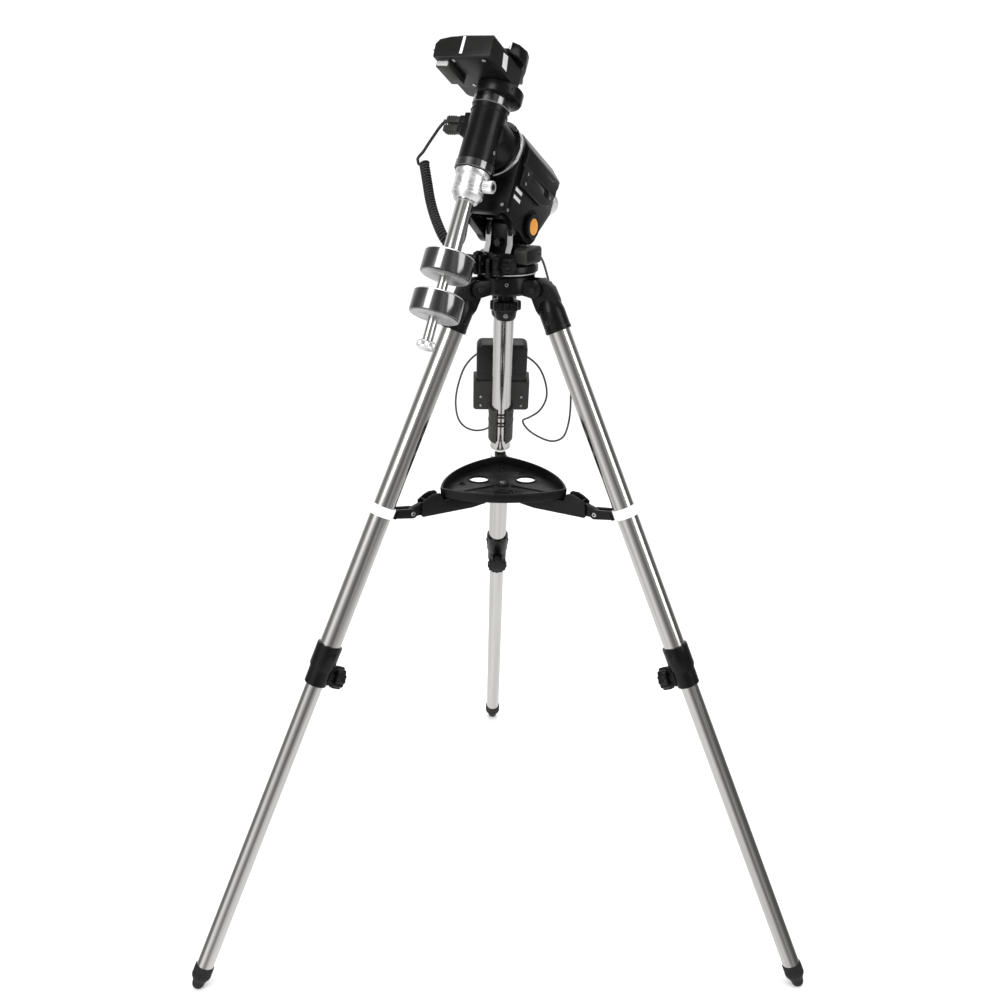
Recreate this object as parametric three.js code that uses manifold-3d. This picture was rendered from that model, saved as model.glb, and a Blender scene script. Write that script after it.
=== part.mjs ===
// German equatorial telescope mount on an extended steel tripod, with two counterweights.
// Millimetres, +Z up. The tripod's axis is x = y = 0 and the feet stand on z = 0 until the last step, which
// moves the origin to the middle of the whole mount's footprint.
import * as THREE from "three";
import { mergeVertices } from "three/addons/utils/BufferGeometryUtils.js";
import Module from "manifold-3d";

// ---- driving dimensions -------------------------------------------------------------------------------------
const GAP = 0.3; // clearance between pieces that touch
const HALF_GAP = GAP / 2;

// tripod
const FOOT_RADIUS = 636;
const APEX_HEIGHT = 1382; // where the three leg axes would meet
const HINGE_RADIUS = 62;
const HINGE_HEIGHT = 1224;
const UPPER_TUBE_RADIUS = 19;
const LOWER_TUBE_RADIUS = 15.5;
const TUBE_WALL = 1.6;
const BOOT_TIP_RADIUS = 11;
const BAND_HEIGHT = 854;
const LOCK_TOP_HEIGHT = 623;
const LOCK_LENGTH = 76;
const ARM_OUTER = { r: 189, z: 841 }; // brace arm's pivot on the leg band
const ARM_INNER = { r: 46, z: 842 }; // and its open pivot at the hub
const TRAY_RADIUS = 129;
const TRAY_FLOOR = 858;
const TRAY_RIM = 875;
const LEG_ANGLES = { left: 210, right: 330, rear: 90 };

// mount head
const HEAD_AZIMUTH = -31; // the polar axis points towards -Y turned by this
const LATITUDE = 29;
const CROSSING = { y: -80, z: 1472 }; // where the polar and declination axes cross, in the head's own frame
const LATITUDE_PIVOT = { y: -90, z: -140 }; // in the axes' frame
const HEAD_BOTTOM = 1212;
const HEAD_TOP = 1244;
const DRUM_RADIUS = 47;
const DRUM_FOOT = { radius: 55, top: 1261 }; // the drum's wider lower part
const DRUM_TOP = 1283;
const KNOB_LINE = { y: -58, z: 1267 }; // axis of the two azimuth knobs
const HOUSING_FRONT = -50;
const RA_TUBE_RADIUS = 40;
const RA_TUBE_END = -210;
const RA_NECK_END = -235;
const DEC_RADIUS = 30;
const COLLAR_TOP = -64;
const COLLAR_BOTTOM = -112;
const THICK_SHAFT_END = -200;
const SHAFT_END = -345;
const SHAFT_RADIUS = 8.5;
const WEIGHT_RADIUS = 41;
const WEIGHT_HEIGHT = 37;
const WEIGHT_CENTRES = { upper: -221, lower: -287 };
const MOTOR_BOX = { x: [-68, 36], y: [80, 115], z: [-30, 96] };

const degrees = THREE.MathUtils.degToRad;
const SPLAY = Math.atan2(FOOT_RADIUS, APEX_HEIGHT);

// ---- solids -------------------------------------------------------------------------------------------------
const wasm = await Module();
wasm.setup();

function solid(geometry) {
  const bare = geometry.index ? geometry.toNonIndexed() : geometry.clone();
  bare.deleteAttribute("normal");
  bare.deleteAttribute("uv");
  const merged = mergeVertices(bare, 1e-4);
  const mesh = new wasm.Mesh({
    numProp: 3,
    vertProperties: merged.attributes.position.array,
    triVerts: new Uint32Array(merged.index.array),
  });
  return new wasm.Manifold(mesh);
}

function geometryOf(manifold) {
  const mesh = manifold.getMesh();
  const geometry = new THREE.BufferGeometry();
  geometry.setAttribute("position", new THREE.BufferAttribute(mesh.vertProperties, 3));
  geometry.setIndex(new THREE.BufferAttribute(mesh.triVerts, 1));
  return geometry;
}

const join = (first, ...others) =>
  geometryOf(others.reduce((sum, other) => sum.add(solid(other)), solid(first)));
const cut = (first, ...others) =>
  geometryOf(others.reduce((rest, other) => rest.subtract(solid(other)), solid(first)));

// Turns a geometry made along Z so that it lies along another axis.
function along(axis, geometry) {
  if (axis === "x") geometry.rotateY(Math.PI / 2);
  if (axis === "y") geometry.rotateX(-Math.PI / 2);
  return geometry;
}

// A cylinder from one coordinate to another along an axis, through a point of the other two coordinates.
function rod(radius, from, to, axis = "z", centre = [0, 0], sides = 28) {
  const geometry = new THREE.CylinderGeometry(radius, radius, to - from, sides);
  geometry.rotateX(Math.PI / 2);
  along(axis, geometry);
  const [u, v] = centre;
  const middle = (from + to) / 2;
  const place = { x: [middle, u, v], y: [u, middle, v], z: [u, v, middle] }[axis];
  return geometry.translate(...place);
}

// A body of revolution about Z from its outline of [radius, height] points, lowest first.
function turned(outline, sides = 28) {
  const points = outline.map(([radius, height]) => new THREE.Vector2(radius, height));
  return new THREE.LatheGeometry(points, sides).rotateX(Math.PI / 2);
}

function box(x, y, z) {
  const geometry = new THREE.BoxGeometry(x[1] - x[0], y[1] - y[0], z[1] - z[0]);
  return geometry.translate((x[0] + x[1]) / 2, (y[0] + y[1]) / 2, (z[0] + z[1]) / 2);
}

// Basis that lays an outline drawn in (u, v) and pulled along w onto two of the part's axes.
const PLANES = {
  xy: [[1, 0, 0], [0, 1, 0], [0, 0, 1]],
  yz: [[0, 1, 0], [0, 0, 1], [1, 0, 0]],
  xz: [[1, 0, 0], [0, 0, 1], [0, -1, 0]],
};

function pulled(shape, from, to, plane = "xy", curveSegments = 6) {
  const settings = { depth: to - from, bevelEnabled: false, curveSegments };
  const geometry = new THREE.ExtrudeGeometry(shape, settings).translate(0, 0, from);
  const basis = PLANES[plane].map((axis) => new THREE.Vector3(...axis));
  return geometry.applyMatrix4(new THREE.Matrix4().makeBasis(...basis));
}

const outlineOf = (points) => new THREE.Shape(points.map(([u, v]) => new THREE.Vector2(u, v)));

function roundedRectangle(u, v, radius) {
  const shape = new THREE.Shape();
  shape.absarc(u[1] - radius, v[0] + radius, radius, -Math.PI / 2, 0, false);
  shape.absarc(u[1] - radius, v[1] - radius, radius, 0, Math.PI / 2, false);
  shape.absarc(u[0] + radius, v[1] - radius, radius, Math.PI / 2, Math.PI, false);
  shape.absarc(u[0] + radius, v[0] + radius, radius, Math.PI, 1.5 * Math.PI, false);
  return shape;
}

// A round outline with lobes, for hand knobs.
function lobed(radius, depth, lobes) {
  const steps = lobes * 6;
  const points = Array.from({ length: steps }, (_, step) => {
    const angle = (step / steps) * 2 * Math.PI;
    const reach = radius - (depth / 2) * (1 - Math.cos(lobes * angle));
    return new THREE.Vector2(reach * Math.cos(angle), reach * Math.sin(angle));
  });
  return new THREE.Shape(points);
}

// A cord: a round section swept through the points of its route.
function cord(points, diameter, steps) {
  const route = new THREE.CatmullRomCurve3(points.map((point) => new THREE.Vector3(...point)), false, "centripetal");
  const section = new THREE.Shape().absarc(0, 0, diameter / 2, 0, 2 * Math.PI, false);
  const settings = { steps, curveSegments: 4, bevelEnabled: false, extrudePath: route };
  return new THREE.ExtrudeGeometry(section, settings);
}

// ---- materials ----------------------------------------------------------------------------------------------
const finish = (color, roughness, metalness) => new THREE.MeshStandardMaterial({ color, roughness, metalness });
const blackPaint = () => finish(0x1d1d1c, 0.5, 0.2);
const blackPlastic = () => finish(0x202020, 0.6, 0);
const brushedSteel = () => finish(0xb9b5ae, 0.28, 1);
const chrome = () => finish(0xc9c7c3, 0.14, 1);
const aluminium = () => finish(0xd6d6d4, 0.35, 1);
const rubber = () => finish(0x171717, 0.85, 0);
const orangeDisc = () => finish(0xd98a24, 0.5, 0.1);

const mount = new THREE.Group();

function add(parent, name, geometry, material) {
  const mesh = new THREE.Mesh(geometry, material);
  mesh.name = name;
  parent.add(mesh);
  return mesh;
}

function frame(parent, position = [0, 0, 0]) {
  const group = new THREE.Group();
  group.position.set(...position);
  parent.add(group);
  return group;
}

// ---- tripod head --------------------------------------------------------------------------------------------
const LUG_GAP = 26.6;
const LUG_WIDTH = 44;
const LUG_RADIUS = 15;

function hingeLug() {
  const profile = new THREE.Shape();
  profile.absarc(HINGE_RADIUS, HINGE_HEIGHT, LUG_RADIUS, -Math.PI / 2, Math.PI / 2, false);
  profile.lineTo(30, HEAD_TOP - 5);
  profile.lineTo(30, HEAD_BOTTOM + 2);
  const slot = box([34, HINGE_RADIUS + 40], [-LUG_GAP / 2, LUG_GAP / 2], [HEAD_BOTTOM - 20, HEAD_TOP + 1]);
  const pin = rod(5, -LUG_GAP / 2 - 1, LUG_GAP / 2 + 1, "y", [HINGE_RADIUS, HINGE_HEIGHT], 14);
  return join(cut(pulled(profile, -LUG_WIDTH / 2, LUG_WIDTH / 2, "xz"), slot), pin);
}

const headDisc = turned([[0, HEAD_BOTTOM], [47, HEAD_BOTTOM], [50, HEAD_BOTTOM + 3], [50, HEAD_TOP - 2],
  [48, HEAD_TOP], [0, HEAD_TOP]], 36);
const lugs = Object.values(LEG_ANGLES).map((angle) => hingeLug().rotateZ(degrees(angle)));
const slots = Object.values(LEG_ANGLES).map((angle) =>
  box([34, 60], [-LUG_GAP / 2, LUG_GAP / 2], [HEAD_BOTTOM - 20, HEAD_TOP + 1]).rotateZ(degrees(angle)));
const boltHole = rod(7, HEAD_BOTTOM - 1, HEAD_TOP + 1, "z", [0, 0], 20);
add(mount, "tripod_head", cut(join(cut(headDisc, ...slots), ...lugs), boltHole), blackPaint());

// lobed knob on the bolt that draws the mount down onto the tripod head
const knobTop = HEAD_BOTTOM - 14;
const boltNut = rod(15, knobTop - 1, HEAD_BOTTOM - GAP, "z", [0, 0], 20);
const boltStem = rod(6.5, knobTop - 1, HEAD_TOP + 18, "z", [0, 0], 16);
const knobRim = pulled(lobed(27, 4, 8), knobTop - 17, knobTop);
const knobHub = turned([[0, knobTop - 36], [12, knobTop - 36], [18, knobTop - 32], [20, knobTop - 16], [0, knobTop - 16]]);
add(mount, "centre_bolt_knob", join(knobRim, knobHub, boltNut, boltStem), blackPlastic());

// ---- legs ---------------------------------------------------------------------------------------------------
// In a leg's frame the hinge pin is the Y axis and -Z runs down the leg, whose tubes stand a little outside the pin.
const hingeAlong = HINGE_RADIUS * Math.sin(SPLAY) + (APEX_HEIGHT - HINGE_HEIGHT) * Math.cos(SPLAY);
const TUBE_OFFSET = (APEX_HEIGHT - HINGE_HEIGHT) * Math.sin(SPLAY) - HINGE_RADIUS * Math.cos(SPLAY);
const downLeg = (height) => hingeAlong - (APEX_HEIGHT - height) / Math.cos(SPLAY);
const inLeg = ({ r, z }) => ({
  x: (r - HINGE_RADIUS) * Math.cos(SPLAY) + (z - HINGE_HEIGHT) * Math.sin(SPLAY),
  z: (z - HINGE_HEIGHT) * Math.cos(SPLAY) - (r - HINGE_RADIUS) * Math.sin(SPLAY),
});

const SOCKET_BOTTOM = -80;
const SOCKET_RADIUS = 22.3;
const UPPER_TUBE_TOP = -46;
const LOCK_TOP = downLeg(LOCK_TOP_HEIGHT);
const LOCK_STEP = LOCK_TOP - 42;
const LOCK_BOTTOM = LOCK_TOP - LOCK_LENGTH;
const UPPER_TUBE_BOTTOM = LOCK_STEP + 2;
const LOWER_TUBE_TOP = LOCK_TOP + 60;
const BOOT_FLAT = BOOT_TIP_RADIUS - 1.5; // height of the tip's centre above the worn flat it stands on
const BOOT_CENTRE = downLeg(BOOT_FLAT);
const BOOT_TOP = BOOT_CENTRE + 36;
const BOOT_RADIUS = 17.5;
const KNOB_ALONG = LOCK_STEP - 16;
const KNOB_START = -27; // from the tube's axis towards the tripod's axis
const BAND_ALONG = downLeg(BAND_HEIGHT);
const BAND_HALF = 9;
const BAND_RADIUS = 22;
const TONGUE = 10; // width of a brace arm's outer end
const offsetTube = (geometry) => geometry.translate(TUBE_OFFSET, 0, 0);

function legSocket() {
  const ear = new THREE.Shape();
  ear.absarc(0, 0, 14, Math.PI / 2, 1.05 * Math.PI, false);
  ear.lineTo(-12, -40);
  ear.lineTo(TUBE_OFFSET + 18, -40);
  ear.lineTo(TUBE_OFFSET + 18, -6);
  ear.lineTo(14, 14);
  const sleeve = offsetTube(turned([[0, SOCKET_BOTTOM], [SOCKET_RADIUS, SOCKET_BOTTOM], [SOCKET_RADIUS, -42],
    [16, -26], [0, -26]]));
  const bore = offsetTube(rod(UPPER_TUBE_RADIUS + GAP, SOCKET_BOTTOM - 1, UPPER_TUBE_TOP + GAP));
  const pinHole = rod(5 + GAP, -20, 20, "y", [0, 0], 14);
  return cut(join(pulled(ear, -13, 13, "xz"), sleeve), bore, pinHole);
}

function upperTube() {
  const inner = UPPER_TUBE_RADIUS - TUBE_WALL;
  return offsetTube(turned([[inner, UPPER_TUBE_BOTTOM], [UPPER_TUBE_RADIUS, UPPER_TUBE_BOTTOM],
    [UPPER_TUBE_RADIUS, UPPER_TUBE_TOP], [inner, UPPER_TUBE_TOP], [inner, UPPER_TUBE_BOTTOM]], 32));
}

// lower tube with its rubber boot, whose round tip meets the ground
function lowerLeg() {
  const inner = LOWER_TUBE_RADIUS - TUBE_WALL;
  const tip = Array.from({ length: 6 }, (_, step) => {
    const angle = (step / 5) * (Math.PI / 2);
    return [BOOT_TIP_RADIUS * Math.sin(angle), BOOT_CENTRE - BOOT_TIP_RADIUS * Math.cos(angle)];
  });
  const ground = box([-30, 30], [-30, 30], [-BOOT_FLAT - 30, -BOOT_FLAT]).rotateY(SPLAY);
  const whole = offsetTube(turned([...tip, [13.5, BOOT_CENTRE + 8], [BOOT_RADIUS, BOOT_CENTRE + 16], [BOOT_RADIUS, BOOT_TOP],
    [LOWER_TUBE_RADIUS, BOOT_TOP], [LOWER_TUBE_RADIUS, LOWER_TUBE_TOP], [inner, LOWER_TUBE_TOP],
    [inner, BOOT_CENTRE + 20], [0, BOOT_CENTRE + 20]], 24));
  return cut(whole, offsetTube(ground.translate(0, 0, BOOT_CENTRE)));
}

function legLock() {
  const body = offsetTube(turned([[0, LOCK_BOTTOM], [20, LOCK_BOTTOM], [20.5, LOCK_STEP - 4], [22.8, LOCK_STEP + 2],
    [22.8, LOCK_TOP], [0, LOCK_TOP]]));
  const boss = rod(11, TUBE_OFFSET + KNOB_START, TUBE_OFFSET, "x", [0, KNOB_ALONG], 18);
  const upperBore = offsetTube(rod(UPPER_TUBE_RADIUS + GAP, UPPER_TUBE_BOTTOM - GAP, LOCK_TOP + 1, "z", [0, 0], 32));
  const lowerBore = offsetTube(rod(LOWER_TUBE_RADIUS + GAP, LOCK_BOTTOM - 1, LOCK_STEP + 3, "z", [0, 0], 24));
  const screwHole = rod(4.5, TUBE_OFFSET + KNOB_START - 1, TUBE_OFFSET - 14, "x", [0, KNOB_ALONG], 12);
  return cut(join(body, boss), upperBore, lowerBore, screwHole);
}

function lockKnob() {
  const grip = pulled(lobed(21, 3, 7), TUBE_OFFSET + KNOB_START - GAP - 20, TUBE_OFFSET + KNOB_START - GAP, "yz");
  grip.translate(0, 0, KNOB_ALONG);
  const screw = rod(4, TUBE_OFFSET + KNOB_START - 2, TUBE_OFFSET - LOWER_TUBE_RADIUS - 1, "x", [0, KNOB_ALONG], 12);
  return join(grip, screw);
}

// band round the upper tube, with the clevis that a brace arm swings in
function legBand() {
  const pivot = inLeg(ARM_OUTER);
  const ring = offsetTube(rod(BAND_RADIUS, BAND_ALONG - BAND_HALF, BAND_ALONG + BAND_HALF, "z", [0, 0], 32));
  const cheek = new THREE.Shape();
  cheek.absarc(pivot.x, pivot.z, 9, Math.PI / 2, 1.35 * Math.PI, false);
  cheek.lineTo(TUBE_OFFSET - UPPER_TUBE_RADIUS + 1, BAND_ALONG - BAND_HALF);
  cheek.lineTo(TUBE_OFFSET - UPPER_TUBE_RADIUS + 1, BAND_ALONG + BAND_HALF);
  const slotReach = TUBE_OFFSET - UPPER_TUBE_RADIUS - 8;
  const slot = box([pivot.x - 20, slotReach], [-TONGUE / 2 - GAP, TONGUE / 2 + GAP], [pivot.z - 40, pivot.z + 40]);
  const pin = rod(3.5, -10, 10, "y", [pivot.x, pivot.z], 12);
  const bore = offsetTube(rod(UPPER_TUBE_RADIUS + GAP, BAND_ALONG - 30, BAND_ALONG + 30, "z", [0, 0], 32));
  return cut(join(ring, cut(pulled(cheek, -11, 11, "xz"), slot), pin), bore);
}

// brace arm in the tripod's radial plane: a tongue at the leg, a hump beside the tray, a fork at the hub
function braceArm() {
  const arm = new THREE.Shape();
  const { r: outer, z: level } = ARM_OUTER;
  arm.absarc(outer, level, 8, -Math.PI / 2, Math.PI / 2, false);
  arm.lineTo(176, 852);
  arm.lineTo(154, 869);
  arm.lineTo(136, 870);
  arm.lineTo(TRAY_RADIUS + 3, 866);
  arm.lineTo(TRAY_RADIUS - 1, TRAY_FLOOR - 3);
  arm.lineTo(ARM_INNER.r, 851);
  arm.absarc(ARM_INNER.r, ARM_INNER.z, 8, Math.PI / 2, 1.5 * Math.PI, false);
  arm.lineTo(70, 831);
  arm.lineTo(170, 831);
  const whole = pulled(arm, -11, 11, "xz");
  const side = (low, high) => box([outer - 17, outer + 12], [low, high], [800, 900]);
  const fork = box([0, 86], [-6, 6], [800, 900]);
  const pinHole = rod(3.5 + GAP, -12, 12, "y", [outer, level], 12);
  const channel = box([80, 164], [-8, 8], [834, 900]);
  return cut(whole, side(TONGUE / 2, 12), side(-12, -TONGUE / 2), fork, pinHole, channel);
}

for (const [side, angle] of Object.entries(LEG_ANGLES)) {
  const radial = frame(mount);
  radial.rotation.z = degrees(angle);
  const leg = frame(radial, [HINGE_RADIUS, 0, HINGE_HEIGHT]);
  leg.rotation.y = -SPLAY;
  add(leg, `leg_socket_${side}`, legSocket(), blackPaint());
  add(leg, `upper_tube_${side}`, upperTube(), brushedSteel());
  add(leg, `lower_leg_${side}`, lowerLeg(), brushedSteel());
  add(leg, `leg_lock_${side}`, legLock(), blackPaint());
  add(leg, `lock_knob_${side}`, lockKnob(), blackPlastic());
  add(leg, `leg_band_${side}`, legBand(), aluminium());
  add(radial, `brace_arm_${side}`, braceArm(), blackPlastic());
}

// ---- brace hub and tray -------------------------------------------------------------------------------------
const HUB_TOP = TRAY_FLOOR - GAP;
const hubVanes = Object.values(LEG_ANGLES).map((angle) =>
  box([0, ARM_INNER.r + 4], [-5, 5], [834, HUB_TOP]).rotateZ(degrees(angle)));
add(mount, "brace_hub", join(rod(9, 832, HUB_TOP, "z", [0, 0], 20), ...hubVanes), blackPlastic());

// Reuleaux triangle: each side is an arc about the opposite corner.
function trayOutline(radius) {
  const shape = new THREE.Shape();
  const corners = [210, 330, 90].map((angle) => degrees(angle));
  const across = radius * Math.sqrt(3);
  for (const corner of corners) {
    const middle = corner + Math.PI;
    const centre = [radius * Math.cos(corner), radius * Math.sin(corner)];
    shape.absarc(...centre, across, middle - Math.PI / 6, middle + Math.PI / 6, false);
  }
  return shape;
}

const trayBody = pulled(trayOutline(TRAY_RADIUS), TRAY_FLOOR, TRAY_RIM, "xy", 10);
const trayHollow = pulled(trayOutline(TRAY_RADIUS - 6), TRAY_FLOOR + 3, TRAY_RIM + 1, "xy", 10);
const trayHoles = [30, 150, 270].map((angle) =>
  rod(18, TRAY_FLOOR - 1, TRAY_FLOOR + 4, "z", [50 * Math.cos(degrees(angle)), 50 * Math.sin(degrees(angle))], 20));
add(mount, "accessory_tray", cut(trayBody, trayHollow, ...trayHoles), blackPlastic());

// ---- mount base: plate, fork, azimuth and altitude screws ---------------------------------------------------
const head = frame(mount);
head.rotation.z = degrees(HEAD_AZIMUTH);
const PLATE_TOP = HEAD_TOP + GAP + 5;
const DRUM_BOTTOM = PLATE_TOP + GAP;
const pivotHeight = CROSSING.z + LATITUDE_PIVOT.y * Math.cos(degrees(LATITUDE))
  + LATITUDE_PIVOT.z * Math.sin(degrees(LATITUDE));
const pivotY = CROSSING.y + LATITUDE_PIVOT.y * Math.sin(degrees(LATITUDE))
  - LATITUDE_PIVOT.z * Math.cos(degrees(LATITUDE));

// plate on the tripod head, with the peg that the azimuth knobs push against
const plateDisc = rod(51, HEAD_TOP + GAP, PLATE_TOP, "z", [0, 0], 40);
const plateTongue = box([-5, 5], [KNOB_LINE.y - 7, 0], [HEAD_TOP + GAP, PLATE_TOP]);
const peg = box([-4, 4], [KNOB_LINE.y - 6, KNOB_LINE.y + 6], [HEAD_TOP + 1, KNOB_LINE.z + 8]);
const plateHole = rod(7, HEAD_TOP - 1, PLATE_TOP + 1, "z", [0, 0], 20);
add(head, "azimuth_base", cut(join(plateDisc, plateTongue, peg), plateHole), aluminium());

const drum = turned([[0, DRUM_BOTTOM], [DRUM_FOOT.radius, DRUM_BOTTOM], [DRUM_FOOT.radius, DRUM_FOOT.top],
  [DRUM_RADIUS, DRUM_FOOT.top + 3.5], [DRUM_RADIUS, DRUM_TOP - 4], [DRUM_RADIUS - 4, DRUM_TOP], [0, DRUM_TOP]], 40);
const yoke = box([-17, 17], [KNOB_LINE.y - 9, -36], [DRUM_BOTTOM, DRUM_TOP - 2]);
const yokeSlot = box([-11, 11], [KNOB_LINE.y - 12, KNOB_LINE.y + 12], [DRUM_BOTTOM - 1, DRUM_TOP]);
const knobHoles = rod(5, -20, 20, "x", [KNOB_LINE.y, KNOB_LINE.z], 14);
const boltRoom = rod(9, DRUM_BOTTOM - 1, DRUM_BOTTOM + 20, "z", [0, 0], 20);

const forkSide = new THREE.Shape();
forkSide.absarc(pivotY, pivotHeight, 24, 0, Math.PI, false);
forkSide.lineTo(-26, 1296);
forkSide.lineTo(-33, DRUM_TOP - 2);
forkSide.lineTo(31, DRUM_TOP - 2);
forkSide.lineTo(24, 1296);
const cheeks = [[-26.5, -15.5], [15.5, 26.5]].map(([from, to]) => pulled(forkSide, from, to, "yz"));
const webTop = pivotHeight + 6;
const web = box([-17, 17], [-22, 20], [DRUM_TOP - 3, webTop]);
const forkHole = rod(9 + GAP, -40, 40, "x", [pivotY, pivotHeight], 20);
const ALTITUDE_BOLT_HEIGHT = 1299;
const altitudeHole = rod(4 + GAP, -40, -10, "y", [0, ALTITUDE_BOLT_HEIGHT], 14);
const knobRooms = [[-60, -17], [17, 60]].map(([from, to]) =>
  rod(20 + GAP, from, to, "x", [KNOB_LINE.y, KNOB_LINE.z], 28));
const forkBody = cut(join(drum, yoke, ...cheeks, web), yokeSlot, knobHoles, boltRoom, forkHole, altitudeHole,
  ...knobRooms);
add(head, "fork", forkBody, blackPaint());

const azimuthKnob = () => join(
  rod(20, 17 + GAP, 26, "x", [KNOB_LINE.y, KNOB_LINE.z], 28),
  pulled(lobed(13, 1.6, 12), 25, 46, "yz").translate(0, KNOB_LINE.y, KNOB_LINE.z),
  rod(4.5, 11 + GAP, 18, "x", [KNOB_LINE.y, KNOB_LINE.z], 14),
);
add(head, "azimuth_knob_east", azimuthKnob(), blackPlastic());
add(head, "azimuth_knob_west", azimuthKnob().rotateZ(Math.PI).translate(0, 2 * KNOB_LINE.y, 0), blackPlastic());

const boltHead = rod(7, -33, -26, "y", [0, ALTITUDE_BOLT_HEIGHT], 6);
add(head, "altitude_bolt", join(boltHead, rod(4, -27, -12, "y", [0, ALTITUDE_BOLT_HEIGHT], 14)), brushedSteel());

// electronics box that hangs over the drum's edge
const PANEL_BACK = 24;
const PORT_HEIGHT = 1274.5;
const panelBlock = pulled(roundedRectangle([-34, PANEL_BACK], [1265, 1293], 8), 33, 56, "yz");
const drumRoom = rod(DRUM_RADIUS + GAP, 1240, DRUM_TOP + GAP, "z", [0, 0], 40);
const port = box([41, 52], [PANEL_BACK - 10, PANEL_BACK + 1], [PORT_HEIGHT - 4.5, PORT_HEIGHT + 4.5]);
add(head, "panel_box", cut(panelBlock, drumRoom, port), blackPlastic());

// ---- polar and declination axes -----------------------------------------------------------------------------
// Here +Z is the polar axis, upwards, and +Y the declination axis, away from the counterweights.
const axes = frame(head, [0, CROSSING.y, CROSSING.z]);
axes.rotation.x = Math.PI / 2 - degrees(LATITUDE);
const PIVOT = [LATITUDE_PIVOT.y, LATITUDE_PIVOT.z];

// bolt that the whole head tilts on, with its round cap
const latitudeBolt = join(rod(9, -49, 47, "x", PIVOT, 20), rod(20, 46 + GAP, 53, "x", PIVOT, 24),
  rod(13, -53, -46 - GAP, "x", PIVOT, 6));
add(axes, "latitude_bolt", latitudeBolt, orangeDisc());

const WHEEL = { radius: 33, z: [-84, -70] };
const earProfile = outlineOf([[-106, HOUSING_FRONT], [-106, -66], [-96, -168], [-44, -196], [-20, -196], [-20, -64],
  [10, -64], [10, HOUSING_FRONT]]);
const ears = [[-46, -29.5], [29.5, 46]].map(([from, to]) =>
  join(pulled(earProfile, from, to, "yz"), rod(30, from, to, "x", PIVOT, 28)));
const raTube = rod(RA_TUBE_RADIUS, RA_TUBE_END, HOUSING_FRONT, "z", [0, 0], 36);
const raNeck = rod(18, RA_NECK_END, RA_TUBE_END + 1, "z", [0, 0], 28);
const frontPlate = box([-46, 46], [-106, 10], [-64, HOUSING_FRONT]);
const frontFlange = rod(46, -64, HOUSING_FRONT, "z", [0, 0], 36);
const raBore = rod(16, RA_NECK_END - 1, HOUSING_FRONT + 1, "z", [0, 0], 24);
const wheelRoom = rod(WHEEL.radius + 1, -86, -68, "z", [0, 0], 28);
const pivotHole = rod(9 + GAP, -60, 60, "x", PIVOT, 20);
const raHousing = cut(join(raTube, raNeck, frontFlange, frontPlate, ...ears), raBore, wheelRoom, pivotHole);
add(axes, "ra_housing", raHousing, blackPaint());

// motor cover along the housing's right side
const coverSection = outlineOf([[18, -19.5], [52, -19.5], [52, 16], [30, 37], [18, 40]]);
const coverInside = outlineOf([[16, -17], [49, -17], [49, 14], [28, 34], [16, 37]]);
const coverEnd = -190;
const skirtOutline = outlineOf([[-17, -66], [-17, -186], [-38, -176], [-50, -146], [-50, -66]]);
const coverSkirt = pulled(skirtOutline, 46 + GAP, 52, "yz");
const rearSlope = outlineOf([[-40, -165], [4, coverEnd], [-40, coverEnd - 1]]);
const coverShell = cut(
  join(pulled(coverSection, coverEnd, -64 - GAP), coverSkirt),
  pulled(coverInside, coverEnd + 4, -68),
  pulled(rearSlope, 0, 60, "yz"),
  rod(RA_TUBE_RADIUS + GAP, -260, -40, "z", [0, 0], 36),
  box([48.6, 60], [-31, -17], [-160, -92]),
);
add(axes, "ra_motor_cover", coverShell, blackPlastic());

const capOutline = [[0, RA_NECK_END - 30], [18, RA_NECK_END - 30], [21.5, RA_NECK_END - 26],
  [21.5, RA_NECK_END - GAP], [0, RA_NECK_END - GAP]];
add(axes, "polar_cap", turned(capOutline), aluminium());

const clutchPlace = [-30, -76];
const clutch = join(rod(8, 34.5, 46.5, "y", clutchPlace, 16), box([-34, -26], [41, 46.5], [-112, -76]));
add(axes, "ra_clutch_lever", clutch, blackPlastic());

// declination body and everything that turns with it about the polar axis
const raShaft = join(rod(15.5, RA_NECK_END + 4, -30, "z", [0, 0], 24), rod(WHEEL.radius, ...WHEEL.z, "z", [0, 0], 28));
add(axes, "ra_shaft", raShaft, brushedSteel());

const decBarrel = rod(DEC_RADIUS, COLLAR_TOP, 62, "y", [0, 0], 32);
const NECK_RADIUS = 38;
const decNeck = rod(NECK_RADIUS, -49.5, 0, "z", [0, 0], 32);
const ringFlange = rod(48, -49.5, -43, "z", [0, 0], 36);
const wormTurret = rod(38.5, 61, 79.5, "y", [7, -3], 32);
const decBore = rod(12.4, COLLAR_TOP - 1, 81, "y", [0, 0], 24);
const decWheelRoom = rod(27, 40, 57, "y", [0, 0], 24);
const shaftSocket = rod(15.5 + GAP, -60, -30 + GAP, "z", [0, 0], 24);
const decHousing = cut(join(decBarrel, cut(decNeck, box([-60, 60], [30, 60], [-40, 40])), ringFlange, wormTurret),
  decBore, decWheelRoom, shaftSocket);
add(axes, "dec_housing", decHousing, blackPaint());

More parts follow.
